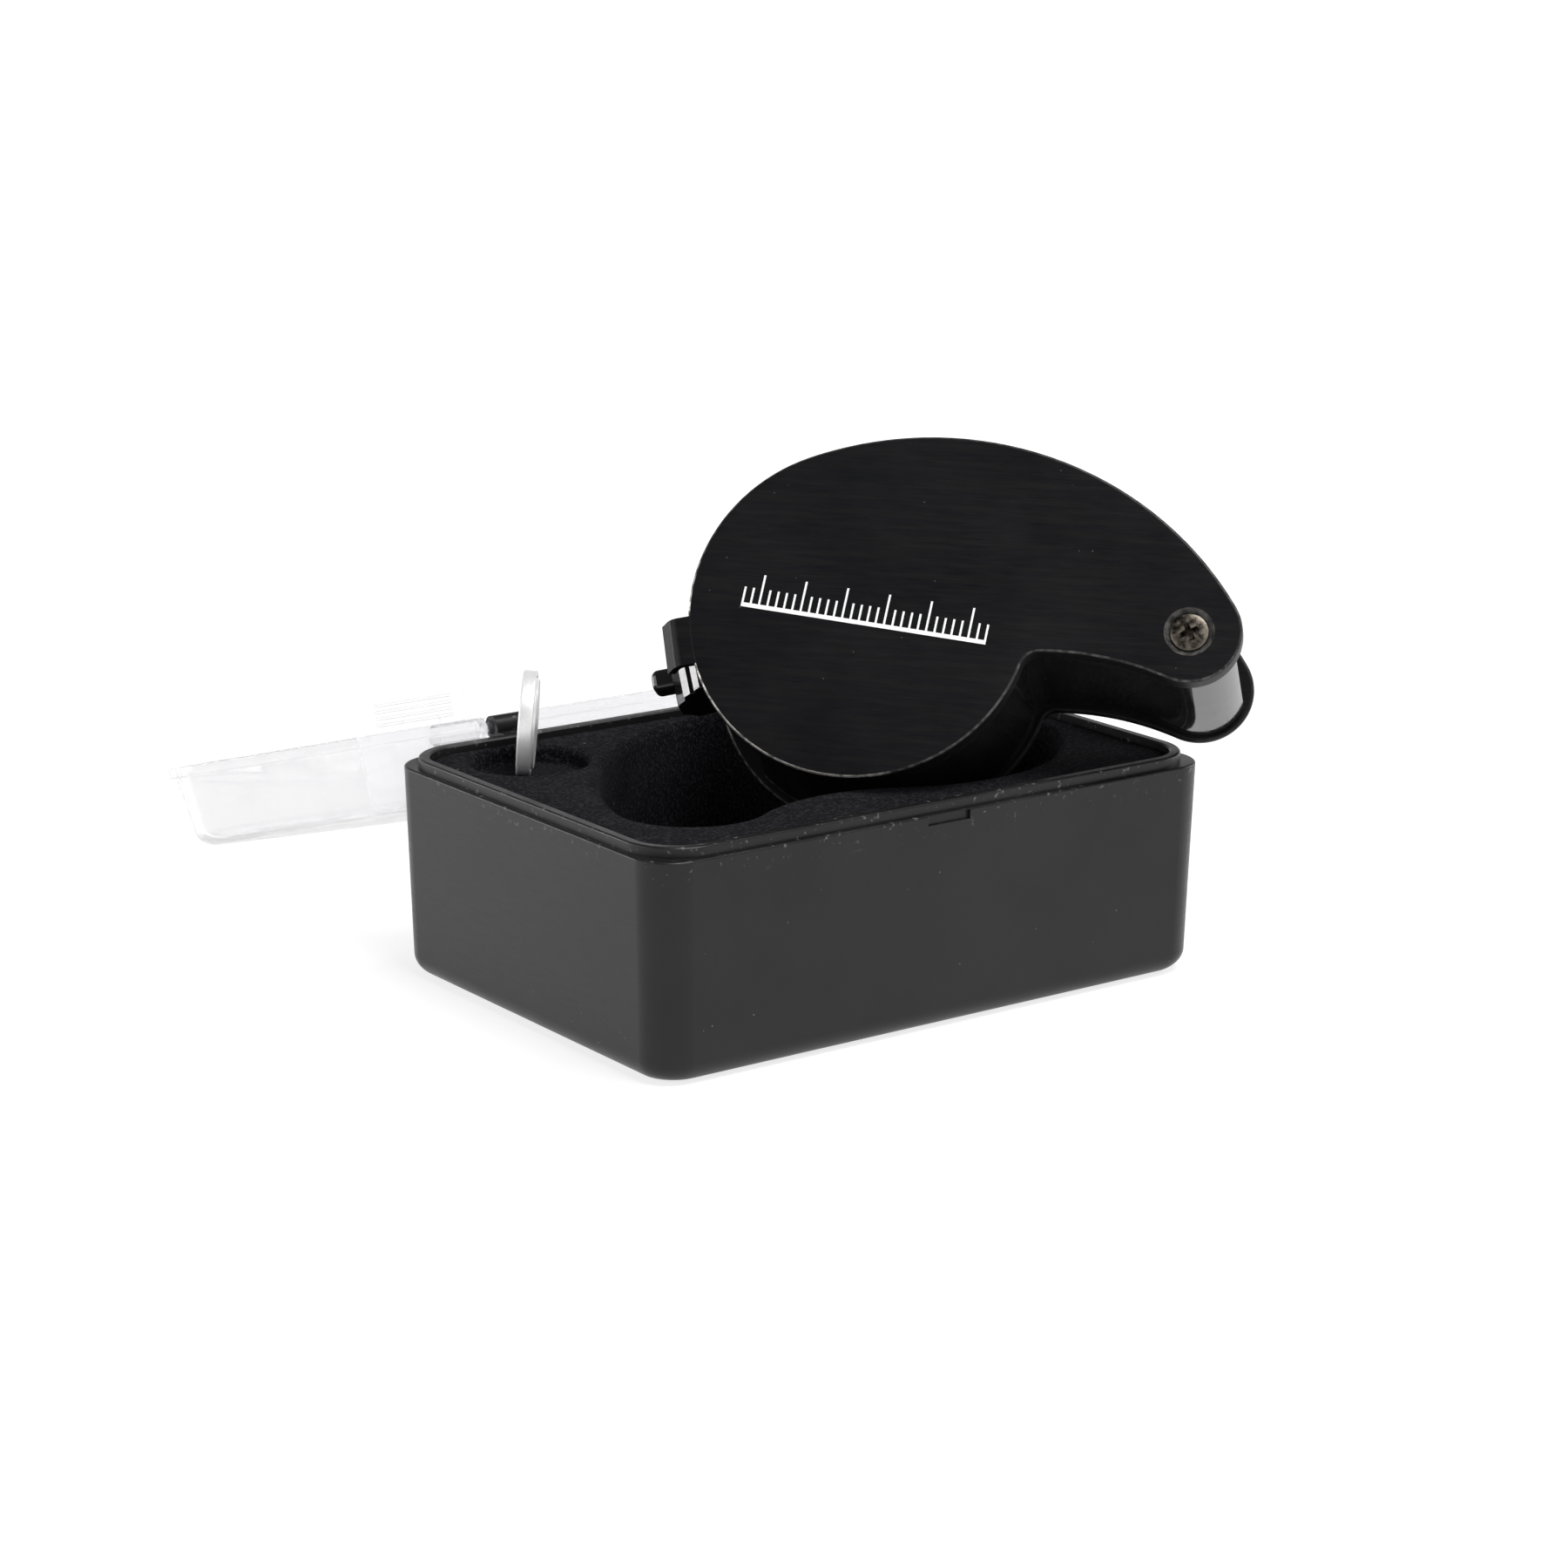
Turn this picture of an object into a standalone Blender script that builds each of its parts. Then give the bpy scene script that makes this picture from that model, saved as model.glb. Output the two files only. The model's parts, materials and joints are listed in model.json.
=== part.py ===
"""Folding hand lens with a lamp, leaning in its fitted case. Metres, +Z up.

The origin is the centre of the case's underside. X runs along the case, and its front faces -Y.
The hand lens has a frame of its own: its round part is centred on local Z, its pivot lies along
local +X, and its front face lies at local z = 0 with the rest of it behind.
"""

import math

import bmesh
import bpy
from mathutils import Euler, Matrix, Vector

FIT_GAP = 0.0003
RUNNING_GAP = 0.00008

# Case
CASE_LENGTH = 0.0790
CASE_WIDTH = 0.0564
CASE_CORNER = 0.0047
CASE_DRAFT = 0.00056
CASE_FILLET = 0.0026
LEDGE_HEIGHT = 0.0256
LEDGE_WIDTH = 0.00075
MOULDED_EDGE = 0.00025
LIP_HEIGHT = 0.0012
LIP_CORNER = 0.0065
LIP_WALL = 0.0013
FLOOR = 0.0020
INSERT_TOP = 0.0260
INSERT_EDGE = 0.0004
POCKET_FLOOR = 0.0045
CELL_RECESS = (-0.0265, 0.0180)
CELL_RECESS_RADIUS = 0.0070
CELL_RECESS_DEPTH = 0.0022

# Pocket for the hand lens, which lies in it face down
POCKET_CENTRE = (0.0128, 0.0027)
POCKET_TURN = math.radians(200)
POCKET_CLEARANCE = 0.0023
POCKET_LAND_RADIUS = 0.0200

# Lid
LID_RIM_LENGTH = 0.0810
LID_RIM_WIDTH = 0.0584
LID_LENGTH = 0.0796
LID_WIDTH = 0.0570
LID_RIM_HEIGHT = 0.0015
LID_HEIGHT = 0.0110
LID_DRAFT = 0.0011
LID_FILLET = 0.0026
LID_WALL = 0.0009
LID_TOP = 0.0012
LID_OPEN = math.radians(196)
HINGE_Y = 0.0303
HINGE_Z = 0.0271
KNUCKLE_RADIUS = 0.0014
HINGE_PIN_RADIUS = 0.0007
BASE_KNUCKLE = (0.0194, 0.0240)
LID_KNUCKLE = (0.0254, 0.0319)
WEB_FOOT = 0.0205
TAB_WIDTH = 0.0160
TAB_REACH = 0.0050
TAB_THICKNESS = 0.0013
CATCH_WIDTH = 0.0056
CATCH_BEAD = (0.0247, 0.0253)
CATCH_NOTCH = (0.0244, 0.0255)
GRIP_RIB_RADIUS = 0.0002
GRIP_RIB_PITCH = 0.0009

# Outline of the hand lens
ROUND_RADIUS = 0.0200
EYE_RADIUS = 0.0060
PIVOT_REACH = 0.0380
BACK_RADIUS = 0.0415
ARCH_RADIUS = 0.0360
ARCH_X = 0.0235
NOTCH_FILLET = 0.0022

# Depths in the hand lens, measured back from its front face
THICKNESS = 0.0234
COVER_THICKNESS = 0.0010
COVER_EDGE = 0.0004
SKIRT_DEPTH = 0.0026
REAR_COVER_FRONT = 0.0223
REAR_COVER_GROWTH = 0.00035
SPINE_INSET = 0.0003
SPINE_WALL = 0.0009
SPINE_TIP = math.radians(-20)
SPINE_END = math.radians(235)
SPINE_END_SLANT = math.radians(9)
HOLDER_FRONT = 0.0033
HOLDER_BACK = 0.0204
HOLDER_INSET = 0.0021
LUG_TURN = math.radians(194.3)
LUG_WIDTH = 0.0058
LUG_DROP = 0.00006
LUG_SHEET = 0.0009
LUG_BEND = 0.0016
LUG_SLOPE = math.radians(58)
LUG_RUN = 0.0017
NUB_TURN = math.radians(195.5)
NUB_RADIUS = 0.0266
NUB_HALF_WIDTH = 0.0014
NUB_CORNER = 0.0009
NUB_DEPTHS = (0.0104, 0.0134)
GRIP_TURN = math.radians(198.5)
GRIP_HALF_WIDTH = 0.0026
SLEEVE_RADIUS = 0.0022
SLEEVE_END = 0.0213

# Where the hand lens stands: its face leans back and turns to the left
LOUPE_PLACE = (0.00157, -0.00893, 0.04520)
LOUPE_LEAN = math.radians(30.3)
LOUPE_TURN = math.radians(-46.8)
LOUPE_ROLL = math.radians(-1.34)

# Optics
LENS_RADIUS = 0.0125
LENS_FLAT = 0.0014
LENS_DOME = 0.0025
BARREL_INNER = 0.0128
BARREL_OUTER = 0.0139
RING_HEIGHT = 0.0010
RING_INNER = 0.0112
LAMP_PLACE = (0.0169, 0.0044)
LAMP_RADIUS = 0.0015

# Coin cells
CELL_RADIUS = 0.00625
CELL_THICKNESS = 0.0020
CELL_PLACE = (0.0265, 0.0069)
CELL_DOOR_RADIUS = 0.0063
CELL_BAY_DEPTH = 0.0052
CONTACT_THICKNESS = 0.0003
SPARE_CELL_TILT = math.radians(4.5)
SPARE_CELL_TURN = math.radians(-35.4)

PARTS = "hand_lens"
HELPERS = "cutters"


def clear_scene():
    for item in list(bpy.data.objects):
        bpy.data.objects.remove(item, do_unlink=True)
    for name in (PARTS, HELPERS):
        bpy.context.scene.collection.children.link(bpy.data.collections.new(name))
    bpy.data.collections[HELPERS].hide_render = True


def material(name, colour, roughness, metallic=0.0, transmission=0.0):
    made = bpy.data.materials.new(name)
    made.use_nodes = True
    shader = made.node_tree.nodes["Principled BSDF"]
    shader.inputs["Base Color"].default_value = (*colour, 1.0)
    shader.inputs["Roughness"].default_value = roughness
    shader.inputs["Metallic"].default_value = metallic
    shader.inputs["Transmission Weight"].default_value = transmission
    return made


def add_object(name, mesh, helper=False):
    made = bpy.data.objects.new(name, mesh)
    bpy.data.collections[HELPERS if helper else PARTS].objects.link(made)
    made.hide_render = helper
    if helper:
        made.display_type = "WIRE"
    return made


def finish_part(part, surface, parent=None):
    part.data.materials.clear()
    part.data.materials.append(surface)
    part.data.shade_smooth()
    part.data.set_sharp_from_angle(angle=math.radians(32))
    if parent:
        part.parent = parent


def empty(name, parent=None):
    made = bpy.data.objects.new(name, None)
    bpy.data.collections[PARTS].objects.link(made)
    made.parent = parent
    return made


def from_bmesh(name, shape, helper):
    bmesh.ops.recalc_face_normals(shape, faces=shape.faces)
    mesh = bpy.data.meshes.new(name)
    shape.to_mesh(mesh)
    shape.free()
    return add_object(name, mesh, helper)


def block(name, low, high, helper=True):
    """A box between two corners."""
    shape = bmesh.new()
    bmesh.ops.create_cube(shape, size=1.0)
    size = [b - a for a, b in zip(low, high)]
    middle = [(a + b) / 2 for a, b in zip(low, high)]
    bmesh.ops.scale(shape, verts=shape.verts, vec=size)
    bmesh.ops.translate(shape, verts=shape.verts, vec=middle)
    return from_bmesh(name, shape, helper)


def cylinder(name, radius, low, high, place=(0, 0), end_radius=None, steps=28, helper=True):
    """A cylinder or cone along Z, with this radius at z = low."""
    shape = bmesh.new()
    bmesh.ops.create_cone(
        shape,
        cap_ends=True,
        segments=steps,
        radius1=radius,
        radius2=radius if end_radius is None else end_radius,
        depth=high - low,
    )
    bmesh.ops.translate(shape, verts=shape.verts, vec=(*place, (low + high) / 2))
    return from_bmesh(name, shape, helper)


def cross_cylinder(name, radius, low, high, y, z, steps=16):
    """A cylinder along X."""
    made = cylinder(name, radius, low, high, steps=steps)
    made.data.transform(Matrix.Translation((0, y, z)) @ Matrix.Rotation(math.pi / 2, 4, "Y"))
    return made


def turned(name, profile, steps, place=(0, 0)):
    """A solid of revolution about Z. The profile is (radius, z), down its outer side."""
    mesh = bpy.data.meshes.new(name)
    points = [(radius, 0, z) for radius, z in profile]
    closed = min(radius for radius, _ in profile) > 0
    links = [(i, i + 1) for i in range(len(points) - 1)]
    if closed:
        links.append((len(points) - 1, 0))
    mesh.from_pydata(points, links, [])
    made = add_object(name, mesh)
    made.location = (*place, 0)
    screw = made.modifiers.new("turn", "SCREW")
    screw.steps = steps
    screw.render_steps = steps
    screw.use_merge_vertices = True
    screw.merge_threshold = 0.00001
    return made


def plate(name, outline, low, high, edge=0.0, helper=False, edge_steps=1):
    """A flat outline between two heights, its edges rounded by the radius edge."""
    curve = bpy.data.curves.new(name + "_outline", "CURVE")
    curve.dimensions = "2D"
    curve.fill_mode = "BOTH"
    curve.extrude = (high - low) / 2 - edge
    curve.bevel_depth = edge
    curve.bevel_resolution = edge_steps
    curve.offset = -edge
    spline = curve.splines.new("POLY")
    spline.points.add(len(outline) - 1)
    for point, (x, y) in zip(spline.points, outline):
        point.co = (x, y, 0, 1)
    spline.use_cyclic_u = True
    drawn = bpy.data.objects.new(name + "_outline", curve)
    bpy.context.scene.collection.objects.link(drawn)
    graph = bpy.context.evaluated_depsgraph_get()
    mesh = bpy.data.meshes.new_from_object(drawn.evaluated_get(graph))
    bpy.data.objects.remove(drawn, do_unlink=True)
    shape = bmesh.new()
    shape.from_mesh(mesh)
    bmesh.ops.remove_doubles(shape, verts=shape.verts, dist=0.000002)
    bmesh.ops.translate(shape, verts=shape.verts, vec=(0, 0, (low + high) / 2))
    return from_bmesh(name, shape, helper)


def tray(name, sections, helper=False, corner_steps=5):
    """A loft through level rounded rectangles, each (length, width, corner radius, height)."""
    shape = bmesh.new()
    rings = []
    for length, width, corner, height in sections:
        points = rounded_rectangle(length, width, corner, corner_steps)
        rings.append([shape.verts.new((x, y, height)) for x, y in points])
    for lower, upper in zip(rings, rings[1:]):
        for i in range(len(lower)):
            j = (i + 1) % len(lower)
            shape.faces.new((lower[i], lower[j], upper[j], upper[i]))
    shape.faces.new(list(reversed(rings[0])))
    shape.faces.new(rings[-1])
    return from_bmesh(name, shape, helper)


def boolean(part, operation, tools):
    for tool in tools:
        step = part.modifiers.new(tool.name, "BOOLEAN")
        step.operation = operation
        step.solver = "EXACT"
        step.object = tool


def cut(part, *tools):
    boolean(part, "DIFFERENCE", tools)


def join(part, *tools):
    boolean(part, "UNION", tools)


def parent_all(parent, *items):
    for item in items:
        item.parent = parent


def arc(centre, radius, start, end, steps):
    """Points on an arc between two angles, both ends included."""
    turn = (end - start) / steps
    angles = [start + turn * i for i in range(steps + 1)]
    return [(centre[0] + radius * math.cos(a), centre[1] + radius * math.sin(a)) for a in angles]


def rounded_rectangle(length, width, corner, steps):
    points = []
    for i, (x, y) in enumerate(((1, 1), (-1, 1), (-1, -1), (1, -1))):
        centre = (x * (length / 2 - corner), y * (width / 2 - corner))
        points += arc(centre, corner, i * math.pi / 2, (i + 1) * math.pi / 2, steps)
    return points


def meeting_point(first, first_reach, second, second_reach, side):
    """The point at two distances from two points, left (1) or right (-1) of the line between."""
    line = Vector(second) - Vector(first)
    along = (first_reach**2 - second_reach**2 + line.length_squared) / (2 * line.length)
    away = math.sqrt(first_reach**2 - along**2)
    unit = line.normalized()
    normal = Vector((-unit.y, unit.x)) * side
    return Vector(first) + unit * along + normal * away


def heading(start, end):
    """The angle of the line from one point to another, from 0 to a full turn."""
    return math.atan2(end[1] - start[1], end[0] - start[0]) % math.tau


ROUND = Vector((0, 0))
PIVOT = Vector((PIVOT_REACH, 0))
BACK = meeting_point(ROUND, BACK_RADIUS - ROUND_RADIUS, PIVOT, BACK_RADIUS - EYE_RADIUS, -1)
ARCH = Vector((ARCH_X, -math.sqrt((ARCH_RADIUS + EYE_RADIUS) ** 2 - (PIVOT_REACH - ARCH_X) ** 2)))
NOTCH = meeting_point(ROUND, ROUND_RADIUS + NOTCH_FILLET, ARCH, ARCH_RADIUS - NOTCH_FILLET, 1)


def underside(grow, tip, end):
    """The outline's lower side, from angle tip on the pivot end to angle end on the round part."""
    notch_side = heading(ROUND, NOTCH)
    arch_side = heading(ARCH, NOTCH)
    eye_side = heading(PIVOT, ARCH) - math.tau
    points = arc(PIVOT, EYE_RADIUS + grow, tip, eye_side, 11)
    points += arc(ARCH, ARCH_RADIUS - grow, heading(ARCH, PIVOT), arch_side, 6)[1:]
    points += arc(NOTCH, NOTCH_FILLET - grow, arch_side, notch_side - math.pi, 5)[1:]
    points += arc(ROUND, ROUND_RADIUS + grow, notch_side, end, 22)[1:]
    return points


def loupe_outline(grow):
    """The closed outline of the hand lens, moved outwards by grow."""
    back_start = heading(BACK, ROUND)
    back_end = heading(BACK, PIVOT)
    points = underside(grow, back_end, back_start)
    points += arc(BACK, BACK_RADIUS + grow, back_start, back_end, 16)[1:-1]
    return points


def pocket_outline(grow):
    """The pocket is a looser copy of the hand lens, turned over, with a plain arc as its land."""
    main = Vector(POCKET_CENTRE)
    lobe = main + Vector((math.cos(POCKET_TURN), math.sin(POCKET_TURN))) * PIVOT_REACH
    main_radius = ROUND_RADIUS + POCKET_CLEARANCE + grow
    lobe_radius = EYE_RADIUS + POCKET_CLEARANCE + grow
    back_radius = BACK_RADIUS + POCKET_CLEARANCE + grow
    land_radius = POCKET_LAND_RADIUS - grow
    back = meeting_point(lobe, back_radius - lobe_radius, main, back_radius - main_radius, -1)
    land = meeting_point(lobe, lobe_radius + land_radius, main, main_radius + land_radius, -1)
    points = arc(back, back_radius, heading(back, main), heading(back, lobe), 16)
    points += arc(lobe, lobe_radius, heading(back, lobe), heading(lobe, land), 12)[1:]
    points += arc(land, land_radius, heading(land, lobe), heading(land, main), 8)[1:]
    start = heading(main, land) - math.tau
    points += arc(main, main_radius, start, heading(back, main), 28)[1:-1]
    return points


def filleted(length, width, corner, low, high, draft, fillet, steps=3):
    """Sections of a drafted block whose narrow end, at height low, has a rounded edge."""
    sections = []
    sign = 1 if high > low else -1
    for i in range(steps + 1):
        turn = math.pi / 2 * i / steps
        inset = fillet * (1 - math.sin(turn)) + draft
        height = low + sign * fillet * (1 - math.cos(turn))
        round_corner = max(corner - inset / 2, 0.001)
        sections.append((length - 2 * inset, width - 2 * inset, round_corner, height))
    sections.append((length, width, corner, high))
    return sections


def make_case_base(surface):
    edge = MOULDED_EDGE
    outside = (CASE_LENGTH, CASE_WIDTH, CASE_CORNER)
    sections = filleted(*outside, 0, LEDGE_HEIGHT - edge, CASE_DRAFT, CASE_FILLET)
    sections.append((CASE_LENGTH - 2 * edge, CASE_WIDTH - 2 * edge, CASE_CORNER, LEDGE_HEIGHT))
    lip_length = CASE_LENGTH - 2 * LEDGE_WIDTH
    lip_width = CASE_WIDTH - 2 * LEDGE_WIDTH
    lip_top = LEDGE_HEIGHT + LIP_HEIGHT
    sections.append((lip_length, lip_width, LIP_CORNER, LEDGE_HEIGHT))
    sections.append((lip_length, lip_width, LIP_CORNER, lip_top - edge))
    sections.append((lip_length - 2 * edge, lip_width - 2 * edge, LIP_CORNER - edge, lip_top))
    base = tray("case_base", sections)

    inner = (lip_length - 2 * LIP_WALL, lip_width - 2 * LIP_WALL, LIP_CORNER - LIP_WALL)
    hollow = tray("case_hollow", [(*inner, FLOOR), (*inner, lip_top + 0.001)], helper=True)
    half = CATCH_WIDTH / 2 + 0.0002
    front = -CASE_WIDTH / 2
    low, high = CATCH_NOTCH
    notch = block("catch_notch", (-half, front - 0.001, low), (half, front + 0.0004, high))
    cut(base, hollow, notch)

    near, far = BASE_KNUCKLE
    web_start = CASE_WIDTH / 2 - 0.0010
    web_top = HINGE_Z - 0.00036
    for side in (-1, 1):
        low, high = sorted((side * near, side * far))
        name = "left" if side < 0 else "right"
        barrel = cross_cylinder(f"base_knuckle_{name}", KNUCKLE_RADIUS, low, high, HINGE_Y, HINGE_Z)
        web = block(f"base_web_{name}", (low, web_start, WEB_FOOT), (high, HINGE_Y, web_top))
        join(base, web, barrel)
        hole = cross_cylinder(
            f"hinge_hole_{name}",
            HINGE_PIN_RADIUS + RUNNING_GAP,
            low - 0.001,
            high + 0.001,
            HINGE_Y,
            HINGE_Z,
        )
        cut(base, hole)
    finish_part(base, surface)


def make_insert(surface):
    length = CASE_LENGTH - 2 * (LEDGE_WIDTH + LIP_WALL + FIT_GAP)
    width = CASE_WIDTH - 2 * (LEDGE_WIDTH + LIP_WALL + FIT_GAP)
    corner = LIP_CORNER - LIP_WALL - FIT_GAP
    edge = INSERT_EDGE
    sections = [
        (length, width, corner, FLOOR + FIT_GAP),
        (length, width, corner, INSERT_TOP - edge),
        (length - 2 * edge, width - 2 * edge, corner, INSERT_TOP),
    ]
    insert = tray("case_insert", sections)
    pocket = plate("loupe_pocket", pocket_outline(0), POCKET_FLOOR, INSERT_TOP + 0.001, helper=True)
    recess = cylinder(
        "cell_recess",
        CELL_RECESS_RADIUS,
        INSERT_TOP - CELL_RECESS_DEPTH,
        INSERT_TOP + 0.001,
        CELL_RECESS,
        steps=36,
    )
    cut(insert, pocket, recess)
    finish_part(insert, surface)


def make_lid(surface, hinge):
    """The lid is drawn shut, about the hinge line, and its parent turns it open."""
    rim = LEDGE_HEIGHT + 0.0001
    top = LEDGE_HEIGHT + LID_HEIGHT
    shoulder = rim + LID_RIM_HEIGHT
    corner = CASE_CORNER
    sections = filleted(LID_LENGTH, LID_WIDTH, corner, top, shoulder, LID_DRAFT, LID_FILLET)
    flange = (LID_RIM_LENGTH, LID_RIM_WIDTH, corner + 0.0007)
    sections += [(*flange, shoulder), (*flange, rim)]
    lid = tray("case_lid", sections)

    inside = filleted(
        LID_LENGTH - 2 * LID_WALL,
        LID_WIDTH - 2 * LID_WALL,
        corner - LID_WALL + 0.0010,
        top - LID_TOP,
        rim - 0.001,
        LID_DRAFT,
        LID_FILLET - LID_WALL,
    )
    hollow = tray("lid_hollow", inside, helper=True)
    tools = [hollow]
    near, far = BASE_KNUCKLE
    back = CASE_WIDTH / 2 - 0.0012
    for side in (-1, 1):
        low, high = sorted((side * (near - 0.0006), side * (far + 0.0006)))
        name = "left" if side < 0 else "right"
        relief_top = HINGE_Z + 0.0022
        relief = block(f"lid_relief_{name}", (low, back, rim - 0.001), (high, HINGE_Y, relief_top))
        tools.append(relief)
    cut(lid, *tools)

    near, far = LID_KNUCKLE
    pin_end = BASE_KNUCKLE[0] + 0.0006
    web_low = rim + 0.0004
    web_high = HINGE_Z + 0.0009
    rim_back = LID_RIM_WIDTH / 2 - 0.0004
    for side in (-1, 1):
        low, high = sorted((side * near, side * far))
        name = "left" if side < 0 else "right"
        barrel = cross_cylinder(f"lid_knuckle_{name}", KNUCKLE_RADIUS, low, high, HINGE_Y, HINGE_Z)
        web = block(f"lid_web_{name}", (low, rim_back, web_low), (high, HINGE_Y, web_high))
        start, end = sorted((side * pin_end, side * (near + 0.001)))
        pin = cross_cylinder(f"lid_pin_{name}", HINGE_PIN_RADIUS, start, end, HINGE_Y, HINGE_Z)
        join(lid, web, barrel, pin)
        tools += [barrel, web, pin]

    tab_back = -LID_RIM_WIDTH / 2 + 0.0003
    tab_foot = rim - TAB_REACH
    half = TAB_WIDTH / 2
    outline = tab_outline(half, tab_foot, rim + 0.0010)
    tab = plate("catch_tab", outline, 0, TAB_THICKNESS, helper=True)
    tab.data.transform(Matrix.Translation((0, tab_back, 0)) @ Matrix.Rotation(math.pi / 2, 4, "X"))
    bead_half = CATCH_WIDTH / 2
    bead_root = tab_back - 0.0006
    bead_tip = -CASE_WIDTH / 2 + 0.0001
    low, high = CATCH_BEAD
    bead = block("catch_bead", (-bead_half, bead_root, low), (bead_half, bead_tip, high))
    web = block(
        "bead_web", (-bead_half, bead_root, low - 0.0011), (bead_half, tab_back + 0.0004, high)
    )
    join(lid, tab, web, bead)
    tools += [tab, bead, web]
    rib_half = half - 0.002
    rib_place = tab_back - TAB_THICKNESS
    for i in range(4):
        height = tab_foot + 0.0011 + GRIP_RIB_PITCH * i
        rib = cross_cylinder(
            f"grip_rib_{i}", GRIP_RIB_RADIUS, -rib_half, rib_half, rib_place, height, steps=8
        )
        join(lid, rib)
        tools.append(rib)

    to_hinge = Matrix.Translation((0, -HINGE_Y, -HINGE_Z))
    for item in (lid, *tools):
        item.data.transform(to_hinge)
    parent_all(hinge, *tools)
    finish_part(lid, surface, hinge)


def tab_outline(half, low, high):
    """A tab with two rounded lower corners."""
    corner = 0.0018
    points = [(half, high), (-half, high)]
    points += arc((-half + corner, low + corner), corner, math.pi, 1.5 * math.pi, 4)
    points += arc((half - corner, low + corner), corner, 1.5 * math.pi, 2 * math.pi, 4)
    return points


def make_front_cover(surface, loupe):
    cover = plate("front_cover", loupe_outline(0), -SKIRT_DEPTH, 0, edge=COVER_EDGE)
    inner = loupe_outline(-COVER_THICKNESS)
    hollow = plate("cover_hollow", inner, -SKIRT_DEPTH - 0.001, -COVER_THICKNESS, helper=True)
    lug = make_lug()
    dish = cylinder("screw_dish", 0.0015, -0.0012, 0.0001, PIVOT, end_radius=0.0030)
    cut(cover, hollow)
    join(cover, lug)
    cut(cover, dish)
    parent_all(loupe, hollow, lug, dish)
    finish_part(cover, surface, loupe)


def make_lug():
    """A strip of the cover's sheet that runs outwards and bends back, as an extruded profile."""
    root = ROUND_RADIUS - 0.0006
    bend_start = ROUND_RADIUS + 0.0010
    centre = (bend_start, -LUG_BEND - LUG_DROP)
    bend_end = math.pi / 2 - LUG_SLOPE
    outside = arc(centre, LUG_BEND, math.pi / 2, bend_end, 5)
    inside = arc(centre, LUG_BEND - LUG_SHEET, math.pi / 2, bend_end, 5)
    outer = [(root, -LUG_DROP), *outside]
    inner = [(root, -LUG_SHEET - LUG_DROP), *inside]
    step = Vector((math.cos(LUG_SLOPE), -math.sin(LUG_SLOPE))) * LUG_RUN
    outer.append(tuple(Vector(outer[-1]) + step))
    inner.append(tuple(Vector(inner[-1]) + step))
    lug = plate("cover_lug", outer + inner[::-1], -LUG_WIDTH / 2, LUG_WIDTH / 2, helper=True)
    stand = Matrix.Rotation(math.pi / 2, 4, "X")
    lug.data.transform(Matrix.Rotation(LUG_TURN, 4, "Z") @ stand)
    return lug


def make_rear_cover(surface, loupe):
    outline = loupe_outline(REAR_COVER_GROWTH)
    cover = plate("rear_cover", outline, -THICKNESS, -REAR_COVER_FRONT, edge=COVER_EDGE)
    hole = cylinder("nut_hole", 0.0023, -THICKNESS - 0.001, -REAR_COVER_FRONT + 0.001, PIVOT)
    cut(cover, hole)
    hole.parent = loupe
    finish_part(cover, surface, loupe)


def make_spine(surface, loupe):
    far_end = SPINE_END - SPINE_END_SLANT
    outer = underside(-SPINE_INSET, SPINE_TIP, far_end)
    inner = underside(-SPINE_INSET - SPINE_WALL, SPINE_TIP, far_end)
    front = -SKIRT_DEPTH - FIT_GAP
    back = -REAR_COVER_FRONT + FIT_GAP
    spine = plate("spine_wall", outer + inner[::-1], back, front)
    wedge = block("spine_trim", (-0.006, 0, -0.016), (0.006, 0.020, 0.016))
    lean = Matrix.Rotation(-SPINE_END_SLANT, 4, "X")
    turn = Matrix.Rotation(SPINE_END - math.pi, 4, "Z") @ Matrix.Rotation(math.pi, 4, "Z")
    reach = Matrix.Translation((ROUND_RADIUS, 0, 0))
    middle = Matrix.Translation((0, 0, (front + back) / 2))
    wedge.data.transform(middle @ turn @ reach @ Matrix.Rotation(math.pi, 4, "X") @ lean)
    cut(spine, wedge)
    wedge.parent = loupe
    finish_part(spine, surface, loupe)


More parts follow.
